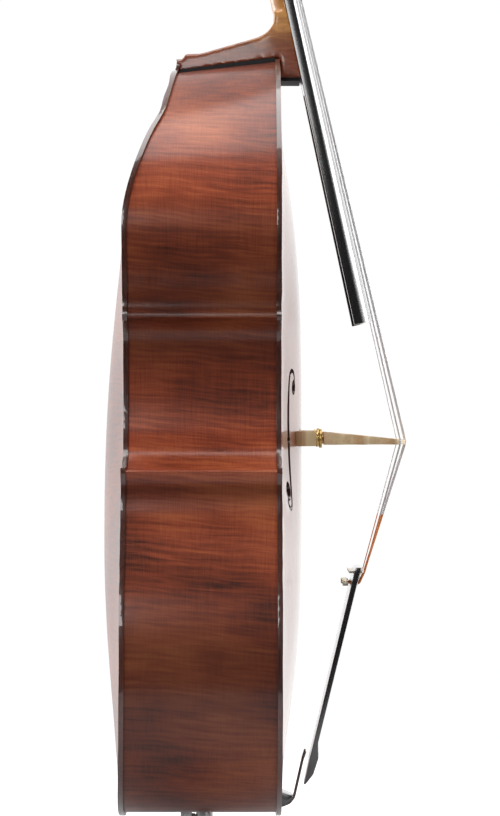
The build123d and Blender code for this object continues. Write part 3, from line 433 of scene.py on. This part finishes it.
@dataclass(frozen=True)
class Metal:
    """Brushed or polished metal that is a little dulled."""

    name: str
    bright: Colour
    dull: Colour
    rough: float = 0.25
    brush: Axis = Axis.Y
    fineness: float = 1500.0

    def material(self) -> bpy.types.Material:
        """Returns the finish as a material."""
        paint = Paint(self.name)
        scale = tuple(self.fineness * factor for factor in self.brush.value)
        scratch = paint.noise(paint.stretch(paint.place, scale), 2.0, 0.6)
        stain = paint.noise(paint.stretch(paint.place, (90.0, 90.0, 90.0)), 4.0, 0.6)
        metal = paint.mix(paint.step(stain, 0.42, 0.68), self.bright, self.dull)
        return paint.finish(
            Base_Color=metal,
            Metallic=1.0,
            Roughness=self.rough + stain * 0.16 + scratch * 0.08,
            Normal=paint.bump(scratch, 0.00003, 0.3),
        )


@dataclass(frozen=True)
class WoundString:
    """Flat steel winding, with a silk wrap below the bridge."""

    name: str = "string_steel"
    steel: Colour = (0.78, 0.78, 0.80)
    silk: Colour = (0.90, 0.33, 0.10)
    silk_dark: Colour = (0.62, 0.15, 0.04)
    silk_top: float = 0.513
    silk_fade: float = 0.0006
    pitch: float = 0.0011

    def material(self) -> bpy.types.Material:
        """Returns the finish as a material."""
        paint = Paint(self.name)
        z = paint.part("Z")
        fine = paint.zigzag(z, self.pitch)
        twist = paint.noise(paint.stretch(paint.place, (900.0, 900.0, 500.0)), 2.0)
        silk = 1.0 - paint.step(z, self.silk_top - self.silk_fade, self.silk_top + self.silk_fade)
        colour = paint.mix(silk, self.steel, paint.mix(twist * 0.5, self.silk, self.silk_dark))
        return paint.finish(
            Base_Color=colour,
            Metallic=(1.0 - silk) * 0.45,
            Roughness=0.26 + silk * 0.4,
            Normal=paint.bump(fine * 0.7 + twist * 0.3, 0.00004, 0.5),
        )


@dataclass(frozen=True)
class Rope:
    """A tail wire wound with dull brown-grey thread."""

    name: str = "tail_rope"
    light: Colour = (0.33, 0.28, 0.25)
    # The dark colour is painted shade in the grooves between strands.
    dark: Colour = (0.06, 0.045, 0.04)
    lay: float = 0.004

    def material(self) -> bpy.types.Material:
        """Returns the finish as a material."""
        paint = Paint(self.name)
        slope = paint.part("Z") + paint.part("Y") * 0.8 + paint.part("X") * 0.6
        strand = paint.zigzag(slope, self.lay)
        fuzz = paint.noise(paint.stretch(paint.place, (1600.0, 1600.0, 1600.0)), 2.0)
        # The colour darkens into the low parts of the strand relief: painted shade in the grooves.
        colour = paint.mix(strand * 0.75 + fuzz * 0.25, self.dark, self.light)
        relief = paint.bump(strand, 0.0004, 0.8)
        return paint.finish(Base_Color=colour, Roughness=0.62 + fuzz * 0.2, Normal=relief)


@dataclass(frozen=True)
class Rubber:
    """Matt moulded rubber with a fine grain and scuffs."""

    name: str = "rubber"
    black: Colour = (0.018, 0.018, 0.019)
    scuffed: Colour = (0.07, 0.068, 0.066)

    def material(self) -> bpy.types.Material:
        """Returns the finish as a material."""
        paint = Paint(self.name)
        grain = paint.noise(paint.stretch(paint.place, (1400.0, 1400.0, 1400.0)), 2.0)
        scuff = paint.noise(paint.stretch(paint.place, (160.0, 160.0, 90.0)), 4.0, 0.7)
        colour = paint.mix(paint.step(scuff, 0.56, 0.7), self.black, self.scuffed)
        relief = paint.bump(grain, 0.0001, 0.4)
        return paint.finish(Base_Color=colour, Roughness=0.7 + scuff * 0.15, Normal=relief)


class Workshop:
    """The finishes, made once, by the material slot that they belong to."""

    def __init__(self) -> None:
        """Makes every finish."""
        varnish = FlamedMaple(
            "maple_varnished",
            dark=(0.085, 0.018, 0.010),
            middle=(0.47, 0.088, 0.032),
            light=(0.98, 0.27, 0.09),
        )
        slab = FlamedMaple(
            "back_varnished",
            dark=(0.05, 0.011, 0.006),
            middle=(0.19, 0.036, 0.013),
            light=(0.38, 0.085, 0.028),
            flow=Flow.BACK,
        )
        self.back = slab.material()
        black, streaked = (0.003, 0.003, 0.0035), (0.014, 0.013, 0.014)
        ebony = PlainWood(
            "ebony",
            black,
            streaked,
            fineness=900.0,
            rough=0.2,
            coat=1.0,
            gloss=0.2,
            coat_index=1.85,
        )
        matt = PlainWood("ebony_matt", black, streaked, Axis.X, fineness=900.0, rough=0.7)
        self.matt_ebony = matt.material()
        inner = PlainWood(
            "inner_wood", (0.40, 0.25, 0.12), (0.62, 0.44, 0.25), fineness=500.0, rough=0.65
        )
        brass = Metal("brass", (0.74, 0.52, 0.19), (0.42, 0.27, 0.10), 0.24)
        steel = Metal("steel", (0.62, 0.62, 0.63), (0.38, 0.37, 0.36), 0.22, Axis.Z)
        nickel = Metal("tail_fret", (0.72, 0.68, 0.60), (0.46, 0.42, 0.36), 0.3)
        finishes = {
            "maple_varnished": varnish,
            "spruce_varnished": Spruce(),
            "maple_neck": NeckMaple(),
            "ebony": ebony,
            "inner_wood": inner,
            "bridge_maple": BridgeMaple(),
            "brass": brass,
            "steel": steel,
            "tail_fret": nickel,
            "string_steel": WoundString(),
            "tail_rope": Rope(),
            "rubber": Rubber(),
        }
        self.materials = {slot: finish.material() for slot, finish in finishes.items()}
        # The plates' edges are coloured darker than their faces.
        edge = PlainWood(
            "edge_varnish",
            (0.022, 0.006, 0.004),
            (0.12, 0.028, 0.014),
            fineness=420.0,
            rough=0.3,
            coat=1.0,
            gloss=0.05,
        )
        self.edge = edge.material()
        knobs = Metal("ball_nickel", (0.80, 0.74, 0.62), (0.58, 0.52, 0.42), 0.3)
        self.knobs = knobs.material()
        record = frame["record"]
        self.slots = {part["node"]: part["material_slot"] for part in record["subparts"]}
        self.bodies = {}
        for body, members in record["behaviour"]["bodies"].items():
            self.bodies.update({member: body for member in members})

    @staticmethod
    def coat(piece: bpy.types.Object, *finishes: bpy.types.Material) -> None:
        """Gives a piece these materials in place of those that it has."""
        piece.data.materials.clear()
        for finish in finishes:
            piece.data.materials.append(finish)

    def dress(self, piece: bpy.types.Object, slot: str) -> None:
        """Gives a piece the finish of a material slot."""
        self.coat(piece, self.materials[slot])


def fresh(name: str, mesh: bmesh.types.BMesh) -> bpy.types.Object:
    """Makes an object of a bmesh, puts it in the scene and frees the bmesh.

    Args:
        name: the object's name.
        mesh: its shape, which can't be used afterwards.

    Returns:
        The object.
    """
    data = bpy.data.meshes.new(name)
    mesh.to_mesh(data)
    mesh.free()
    piece = bpy.data.objects.new(name, data)
    bpy.context.scene.collection.objects.link(piece)
    return piece


class SubAssembly:
    """A group of pieces that is built together."""

    workshop: Workshop

    def merged(self, node: str) -> bmesh.types.BMesh:
        """A copy of a CAD node's mesh with its doubled points joined."""
        mesh = bmesh.new()
        mesh.from_mesh(frame["nodes"][node].data)
        bmesh.ops.remove_doubles(mesh, verts=mesh.verts, dist=1e-6)
        return mesh

    def round_edges(
        self, mesh: bmesh.types.BMesh, edges: list[bmesh.types.BMEdge], width: float, steps: int
    ) -> None:
        """Rounds some edges of a mesh.

        Args:
            mesh: the mesh.
            edges: the edges to round.
            width: the width of the rounding, in metres.
            steps: faces across the rounding.
        """
        bmesh.ops.bevel(
            mesh,
            geom=edges,
            offset=width,
            offset_type="OFFSET",
            segments=steps,
            profile=0.5,
            affect="EDGES",
            material=-1,
            clamp_overlap=True,
            loop_slide=True,
        )

    def shade(self, mesh: bmesh.types.BMesh, crease: float = 32.0) -> None:
        """Smooths a mesh except over creases sharper than the angle, in degrees."""
        limit = math.radians(crease)
        for face in mesh.faces:
            face.smooth = True
        for edge in mesh.edges:
            edge.smooth = len(edge.link_faces) == 2 and edge.calc_face_angle(0.0) < limit

    def deliver(self, piece: bpy.types.Object, node: str) -> bpy.types.Object:
        """Lets a finished piece stand for a CAD node, with that node's body and finish."""
        slot = self.workshop.slots[node]
        self.workshop.dress(piece, slot)
        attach(piece, self.workshop.bodies[node])
        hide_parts(node)
        LOG.info("%s stands for %s, %d faces", piece.name, node, len(piece.data.polygons))
        return piece

    def refined(
        self, node: str, edge: float = 0.0, crease: float = 32.0, steps: int = 2
    ) -> bpy.types.Object:
        """A copy of a CAD node with its sharp edges broken.

        Args:
            node: the CAD node.
            edge: the width of the rounding, in metres; 0 leaves the edges sharp.
            crease: the angle above which an edge is sharp, in degrees.
            steps: faces across the rounding.

        Returns:
            The finished piece.
        """
        mesh = self.merged(node)
        if edge > 0.0:
            flat = math.radians(FLAT_DEGREES)
            bmesh.ops.dissolve_limit(mesh, angle_limit=flat, verts=mesh.verts, edges=mesh.edges)
            limit = math.radians(crease)
            sharp = [line for line in mesh.edges if line.calc_face_angle(0.0) > limit]
            self.round_edges(mesh, sharp, edge, steps)
        self.shade(mesh, crease)
        return self.deliver(fresh(f"{node}_piece", mesh), node)


@dataclass
class Soundbox(SubAssembly):
    """Belly, back, ribs, their purfling and the wood inside.

    Attributes:
        workshop: the finishes.
        edge_round: the rounding of the plates' edges, in metres.
        edge_steps: faces across that rounding.
        sharp: the angle of a plate's sharp edges, in radians.
        wall_tilt: the X part of a normal, under which a face belongs to the outer wall.
        outer_tilt: the X part of a normal, over which a face looks outwards.
        dark_tilt: the X part of a normal, under which a face is coloured darker, as part of the
            edge.
        hole_reach: how far the sound holes reach to each side, in metres.
        hole_span: the lowest and highest height of the sound holes.
        shortest: the fewest points of a rim that counts.
        purfling_in: how far the purfling is from the edge.
        purfling_wide: its width.
        purfling_proud: how far it stands off the wood.
        fold: the shortest sum of two normals that still has a direction.
        mitre: the smallest cosine that a corner's inset is divided by.
        above: how far outside a plate the purfling is dropped from.
    """

    workshop: Workshop
    edge_round: float = 0.0024
    edge_steps: int = 4
    sharp: float = 0.8
    wall_tilt: float = 0.25
    outer_tilt: float = 0.5
    dark_tilt: float = 0.82
    hole_reach: float = 0.176
    hole_span: tuple[float, float] = (0.47, 0.77)
    shortest: int = 30
    purfling_in: float = 0.0052
    purfling_wide: float = 0.0013
    purfling_proud: float = 0.00012
    fold: float = 0.2
    mitre: float = 0.45
    above: float = 0.2

    def build(self) -> None:
        """Builds the soundbox."""
        for node, front in (("belly", 1.0), ("back_plate", -1.0)):
            self.plate(node, front)
        for bout in ("upper", "center", "lower"):
            for side in SIDES:
                self.refined(f"rib_{bout}_{side}")
        for node, slot in self.workshop.slots.items():
            if slot == "inner_wood":
                self.refined(node)

    def plate(self, node: str, front: float) -> None:
        """A carved plate with rounded edges and its purfling."""
        mesh = self.merged(node)
        rims = self.rims(mesh, front)
        outline = [edge for edge in mesh.edges if self.on_outline(edge)]
        self.round_edges(mesh, outline, self.edge_round, self.edge_steps)
        self.shade(mesh)
        piece = self.deliver(fresh(f"{node}_piece", mesh), node)
        own = self.workshop.materials[self.workshop.slots[node]]
        skin = own if front > 0.0 else self.workshop.back
        self.workshop.coat(piece, skin, self.workshop.edge)
        for polygon in piece.data.polygons:
            polygon.material_index = 1 if abs(polygon.normal.x) < self.dark_tilt else 0
        self.purfling(piece, rims, front)

    def on_outline(self, edge: bmesh.types.BMEdge) -> bool:
        """Whether an edge is a sharp one on the plate's outer wall."""
        if len(edge.link_faces) != 2 or edge.calc_face_angle(0.0) < self.sharp:
            return False
        middle = (edge.verts[0].co + edge.verts[1].co) * 0.5
        low, high = self.hole_span
        in_sound_hole = abs(middle.y) < self.hole_reach and low < middle.z < high
        wall = min(abs(face.normal.x) for face in edge.link_faces)
        return wall < self.wall_tilt and not in_sound_hole

    def looks_out(self, edge: bmesh.types.BMEdge, front: float) -> bool:
        """Whether one of an edge's faces looks outwards."""
        return max(face.normal.x * front for face in edge.link_faces) > self.outer_tilt

    def rims(self, mesh: bmesh.types.BMesh, front: float) -> list[list[Vector]]:
        """The sharp lines round a plate's outer face, each as points in order."""
        lines = [edge for edge in mesh.edges if self.on_outline(edge)]
        left = {edge: None for edge in lines if self.looks_out(edge, front)}
        paths = []
        while left:
            start = next(iter(left))
            del left[start]
            path = list(start.verts)
            for end in (-1, 0):
                link = start
                while link is not None:
                    link = next((edge for edge in path[end].link_edges if edge in left), None)
                    if link is not None:
                        del left[link]
                        path.insert(len(path) if end else 0, link.other_vert(path[end]))
            paths.append([vert.co.copy() for vert in path])
        return [path for path in paths if len(path) > self.shortest]

    def purfling(self, plate: bpy.types.Object, rims: list[list[Vector]], front: float) -> None:
        """A dark line inlaid round a plate, just inside its edge."""
        tree = BVHTree.FromObject(plate, bpy.context.evaluated_depsgraph_get())
        side = "belly" if front > 0.0 else "back"
        mesh = bmesh.new()
        for rim in rims:
            closed = (rim[0] - rim[-1]).length < 1e-6
            pair = []
            for inset in (self.purfling_in, self.purfling_in + self.purfling_wide):
                spots = self.laid(rim[:-1] if closed else rim, closed, inset, tree, front)
                verts = [mesh.verts.new(spot) for spot in spots]
                after = verts[1:] + verts[:1] if closed else verts[1:]
                pair += [mesh.edges.new(ends) for ends in zip(verts, after)]
            bmesh.ops.bridge_loops(mesh, edges=pair)
        bmesh.ops.recalc_face_normals(mesh, faces=mesh.faces)
        if sum(face.normal.x * face.calc_area() for face in mesh.faces) * front < 0.0:
            bmesh.ops.reverse_faces(mesh, faces=mesh.faces)
        ribbon = fresh(f"purfling_{side}", mesh)
        self.workshop.dress(ribbon, "ebony")
        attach(ribbon, self.workshop.bodies["belly"])
        LOG.info("%s: %d lines, %d faces", ribbon.name, len(rims), len(ribbon.data.polygons))

    def laid(
        self, rim: list[Vector], closed: bool, inset: float, tree: BVHTree, front: float
    ) -> list[Vector]:
        """A rim moved inwards and laid on the plate.

        Args:
            rim: its points.
            closed: whether the last point joins the first.
            inset: how far inwards, in metres.
            tree: the plate's surface.
            front: 1 for the belly, -1 for the back.

        Returns:
            The points on the plate.
        """
        middle = sum(rim, Vector()) / len(rim)
        befores = [rim[-1] if closed else rim[0] * 2.0 - rim[1]] + rim[:-1]
        afters = rim[1:] + [rim[0] if closed else rim[-1] * 2.0 - rim[-2]]
        area = sum(a.y * b.z - b.y * a.z for a, b in zip(rim, rim[1:] + rim[:1]))
        turn = 1.0 if area > 0.0 else -1.0
        placed = []
        for before, point, after in zip(befores, rim, afters):
            normals = []
            for a, b in ((before, point), (point, after)):
                run = Vector((0.0, b.y - a.y, b.z - a.z)).normalized()
                normals.append(Vector((0.0, -run.z, run.y)) * turn)
            inwards = normals[0] + normals[1]
            if inwards.length < self.fold:
                continue
            inwards = inwards.normalized()
            spot = point + inwards * (inset / max(self.mitre, inwards.dot(normals[0])))
            start = Vector((middle.x + front * self.above, spot.y, spot.z))
            hit = tree.ray_cast(start, Vector((-front, 0.0, 0.0)))
            if hit[0] is not None:
                placed.append(hit[0] + Vector((front * self.purfling_proud, 0.0, 0.0)))
        return placed


@dataclass
class Neck(SubAssembly):
    """Neck, pegbox and scroll in one carved piece, with fingerboard, nut and shims.

    Attributes:
        workshop: the finishes.
        voxel: the grid that the wood is joined on, in metres.
        held: how near to a glued face the wood stays as it is.
        heel_top: the height under which the heel's passes work.
        heel_passes: how often the heel is smoothed.
        wood_passes: how often all the wood is smoothed.
        strength: how far one pass moves a point towards its neighbours.
        crease: the angle of the edges that stay sharp, in degrees.
    """

    workshop: Workshop
    voxel: float = 0.0019
    held: float = 0.0024
    heel_top: float = 1.32
    heel_passes: int = 14
    wood_passes: int = 3
    strength: float = 0.5
    crease: float = 70.0

    def build(self) -> None:
        """Builds the neck."""
        self.carved()
        self.refined("fingerboard", 0.0012, 30.0, 3)
        self.refined("nut", 0.0008)
        self.workshop.coat(self.refined("heel_shims"), self.workshop.matt_ebony)

    def carved(self) -> None:
        """The neck's wood, joined into one skin and faired."""
        mesh = self.merged("neck")
        piece = fresh("neck_blank", mesh)
        remesh = piece.modifiers.new("join", "REMESH")
        remesh.mode = "VOXEL"
        remesh.voxel_size = self.voxel
        shown = piece.evaluated_get(bpy.context.evaluated_depsgraph_get())
        mesh = bmesh.new()
        mesh.from_mesh(shown.to_mesh())
        bpy.data.objects.remove(piece)
        self.fair(mesh)
        self.shade(mesh, self.crease)
        self.deliver(fresh("neck_piece", mesh), "neck")

    def fair(self, mesh: bmesh.types.BMesh) -> None:
        """Smooths the wood, most of all at the heel, and leaves the glued faces alone."""
        graph = bpy.context.evaluated_depsgraph_get()
        names = ("fingerboard", "heel_shims", "nut", "machine_plate_bass", "machine_plate_treble")
        trees = [BVHTree.FromObject(frame["nodes"][name], graph) for name in names]
        free = [vert for vert in mesh.verts if not self.is_held(vert.co, trees)]
        heel = [vert for vert in free if vert.co.z < self.heel_top]
        for verts, passes in ((free, self.wood_passes), (heel, self.heel_passes)):
            for _ in range(passes):
                bmesh.ops.smooth_vert(
                    mesh,
                    verts=verts,
                    factor=self.strength,
                    use_axis_x=True,
                    use_axis_y=True,
                    use_axis_z=True,
                )
        LOG.info("neck: %d points faired, %d at the heel", len(free), len(heel))

    def is_held(self, spot: Vector, trees: list[BVHTree]) -> bool:
        """Whether a point is on or near one of the pieces that the neck meets."""
        return any(tree.find_nearest(spot, self.held)[0] is not None for tree in trees)


@dataclass
class Machines(SubAssembly):
    """Tuning machines: plates, posts, gears, keys and the string turns on the posts.

    Attributes:
        workshop: the finishes.
        broken_edge: the rounding of plates and posts, in metres.
        core: the radius that a string is wound on.
        thinnest: the smallest radius of a wound string.
        thickest: the largest radius of a wound string.
        spacing: the distance between turns, in string radii.
        sides: faces round a wound string.
        turn_steps: faces along one turn.
    """

    workshop: Workshop
    broken_edge: float = 0.0004
    core: float = 0.0052
    thinnest: float = 0.0006
    thickest: float = 0.0015
    spacing: float = 2.05
    sides: int = 10
    turn_steps: int = 28

    def build(self) -> None:
        """Builds the machines."""
        for side in SIDES:
            self.refined(f"machine_plate_{side}", self.broken_edge)
        self.refined("machine_screws", 0.0002)
        for letter in STRINGS:
            self.refined(f"tuner_post_{letter}", self.broken_edge)
            self.refined(f"tuner_gear_{letter}", 0.0)
            self.refined(f"tuner_key_{letter}", 0.0)
            self.coil(letter)

    def coil(self, letter: str) -> None:
        """The turns of one string on its post, as a close helix."""
        node = f"string_winding_{letter}"
        low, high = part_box(node)
        wide = high.y - low.y
        outer = (high.x - low.x) * 0.5
        centre = Vector(((low.x + high.x) * 0.5, low.y, (low.z + high.z) * 0.5))
        thick = max(self.thinnest, min(self.thickest, outer - self.core))
        turns = max(2, int(wide / (thick * self.spacing)))
        LOG.info("string %s: %d turns", letter, turns)
        mesh = bmesh.new()
        ring = bmesh.ops.create_circle(mesh, segments=self.sides, radius=thick)["verts"]
        place = Matrix.Translation(centre + Vector((outer - thick, thick, 0.0)))
        bmesh.ops.transform(mesh, matrix=place, verts=ring)
        pitch = (wide - 2.0 * thick) / turns
        bmesh.ops.spin(
            mesh,
            geom=mesh.verts[:] + mesh.edges[:],
            cent=centre,
            axis=(0.0, 1.0, 0.0),
            dvec=(0.0, pitch / self.turn_steps, 0.0),
            angle=2.0 * math.pi * turns,
            steps=self.turn_steps * turns,
            use_duplicate=False,
        )
        bmesh.ops.remove_doubles(mesh, verts=mesh.verts, dist=1e-7)
        ends = [edge for edge in mesh.edges if edge.is_boundary]
        bmesh.ops.holes_fill(mesh, edges=ends, sides=0)
        bmesh.ops.recalc_face_normals(mesh, faces=mesh.faces)
        self.shade(mesh, 50.0)
        self.deliver(fresh(f"winding_{letter}", mesh), node)


@dataclass
class Fittings(SubAssembly):
    """Bridge, tailpiece, strings, saddle and endpin."""

    workshop: Workshop

    def build(self) -> None:
        """Builds the fittings."""
        self.refined("bridge_top", 0.0007)
        for side in SIDES:
            self.refined(f"bridge_foot_{side}", 0.0007)
            self.refined(f"bridge_adjuster_{side}", 0.0004)
        self.refined("tailpiece", 0.0014, 30.0, 3)
        self.refined("tailpiece_fret")
        self.workshop.coat(self.refined("string_ball_ends"), self.workshop.knobs)
        self.refined("tail_wire")
        self.refined("saddle", 0.0012, 32.0, 3)
        for letter in STRINGS:
            self.refined(f"string_{letter}", 0.0, 60.0)
        for node in ("plug", "collar"):
            self.refined(f"endpin_{node}", 0.0006)
        for node, edge in (("thumbscrew", 0.0003), ("rod", 0.0), ("foot", 0.001)):
            self.refined(f"endpin_{node}", edge)


@dataclass(frozen=True)
class Lamp:
    """A soft rectangular light.

    Attributes:
        name: its name.
        place: where it is, in metres.
        aim: the point that it looks at.
        size: its width and height, in metres.
        watts: its power.
    """

    name: str
    place: Spot
    aim: Spot
    size: tuple[float, float]
    watts: float


LAMPS = (
    Lamp("overhead", (0.0, -0.35, 2.9), (0.0, -0.1, 0.8), (2.2, 1.3), 42.0),
    Lamp("key", (-1.0, -3.4, 1.6), (0.0, 0.0, 0.7), (1.3, 1.1), 30.0),
    Lamp("fill", (1.9, -2.8, 1.0), (0.1, 0.0, 0.7), (1.2, 1.4), 12.0),
    Lamp("rim_back", (-1.7, 1.5, 1.3), (0.0, 0.0, 0.7), (0.7, 2.0), 24.0),
    Lamp("rim_front", (1.8, 1.4, 1.2), (0.2, 0.0, 0.7), (0.7, 2.0), 24.0),
)


@dataclass
class Studio:
    """Pale floor, soft lights, white surroundings and the camera.

    Attributes:
        side: the camera's place along X, in metres.
        height: its height.
        distance: its distance along -Y.
        lens: its focal length, in millimetres.
        sensor: the width of its sensor, in millimetres.
        shift: its sideways shift, as a share of the sensor.
        backdrop: how bright the surroundings look to the camera.
        walls: where along Y the walls' light begins and is full, then its least and most.
        floor_radius: the floor's radius, in metres.
        floor_sides: the points round the floor.
        floor_glow: how much the floor glows for the camera.
    """

    side: float = 0.0532
    height: float = 0.672
    distance: float = 3.8
    lens: float = 112.06
    sensor: float = 36.0
    shift: float = 0.01225
    backdrop: float = 1.02
    walls: tuple[float, float, float, float] = (-0.25, 0.35, 0.04, 1.6)
    floor_radius: float = 1.1
    floor_sides: int = 96
    floor_glow: float = 0.55

    def build(self) -> None:
        """Sets up the studio."""
        self.surroundings()
        self.floor()
        for lamp in LAMPS:
            self.light(lamp)
        self.camera()

    def surroundings(self) -> None:
        """White to the camera and behind the bass, dim in front of it."""
        world = bpy.data.worlds.new("studio_walls")
        world.use_nodes = True
        tree = world.node_tree
        tree.nodes.clear()
        end = tree.nodes.new("ShaderNodeOutputWorld")
        seen = tree.nodes.new("ShaderNodeBackground")
        seen.inputs["Color"].default_value = (1.0, 1.0, 1.0, 1.0)
        seen.inputs["Strength"].default_value = self.backdrop
        lit = tree.nodes.new("ShaderNodeBackground")
        direction = tree.nodes.new("ShaderNodeTexCoord")
        parts = tree.nodes.new("ShaderNodeSeparateXYZ")
        tree.links.new(direction.outputs["Generated"], parts.inputs[0])
        tone = tree.nodes.new("ShaderNodeMapRange")
        tone.interpolation_type = "SMOOTHSTEP"
        tree.links.new(parts.outputs["Y"], tone.inputs[0])
        for index, value in enumerate(self.walls, 1):
            tone.inputs[index].default_value = value
        tree.links.new(tone.outputs[0], lit.inputs["Strength"])
        rays = tree.nodes.new("ShaderNodeLightPath")
        choice = tree.nodes.new("ShaderNodeMixShader")
        tree.links.new(rays.outputs["Is Camera Ray"], choice.inputs[0])
        tree.links.new(lit.outputs[0], choice.inputs[1])
        tree.links.new(seen.outputs[0], choice.inputs[2])
        tree.links.new(choice.outputs[0], end.inputs["Surface"])
        bpy.context.scene.world = world
        bpy.context.scene.view_settings.view_transform = "Standard"

    def floor(self) -> None:
        """A plain pale disc under the endpin."""
        mesh = bmesh.new()
        bmesh.ops.create_circle(
            mesh, cap_ends=True, segments=self.floor_sides, radius=self.floor_radius
        )
        piece = fresh("floor", mesh)
        paint = Paint("floor_paper")
        speck = paint.noise(paint.stretch(paint.place, (40.0, 40.0, 40.0)), 3.0)
        colour = paint.mix(speck, (0.60, 0.61, 0.63), (0.66, 0.66, 0.67))
        seen = paint.node("ShaderNodeLightPath", output="Is Camera Ray")
        glow = paint.mix(seen, (0.0, 0.0, 0.0), (1.0, 1.0, 1.0))
        paper = paint.finish(
            Base_Color=colour,
            Roughness=0.8,
            Emission_Color=glow,
            Emission_Strength=self.floor_glow,
        )
        piece.data.materials.append(paper)

    def light(self, lamp: Lamp) -> None:
        """Adds one lamp to the scene."""
        data = bpy.data.lights.new(lamp.name, "AREA")
        data.shape = "RECTANGLE"
        data.size, data.size_y = lamp.size
        data.energy = lamp.watts
        shown = bpy.data.objects.new(lamp.name, data)
        bpy.context.scene.collection.objects.link(shown)
        shown.location = lamp.place
        look = Vector(lamp.aim) - Vector(lamp.place)
        shown.rotation_euler = look.to_track_quat("-Z", "Y").to_euler()

    def camera(self) -> None:
        """Level camera on the bass side."""
        data = bpy.data.cameras.new("camera")
        data.lens = self.lens
        data.sensor_width = self.sensor
        data.shift_x = self.shift
        eye = bpy.data.objects.new("camera", data)
        eye.location = (self.side, -self.distance, self.height)
        eye.rotation_euler = (math.radians(90.0), 0.0, 0.0)
        bpy.context.scene.collection.objects.link(eye)
        bpy.context.scene.camera = eye


def main() -> None:
    """Builds the bass in order."""
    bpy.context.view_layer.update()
    Studio().build()
    workshop = Workshop()
    for assembly in (Soundbox(workshop), Neck(workshop), Machines(workshop), Fittings(workshop)):
        LOG.info("building %s", type(assembly).__name__)
        assembly.build()
    for name, node in frame["nodes"].items():
        if not node.hide_render:
            workshop.dress(node, workshop.slots[name])
            LOG.info("%s keeps its own shape", name)


if __name__ == "__main__":
    main()
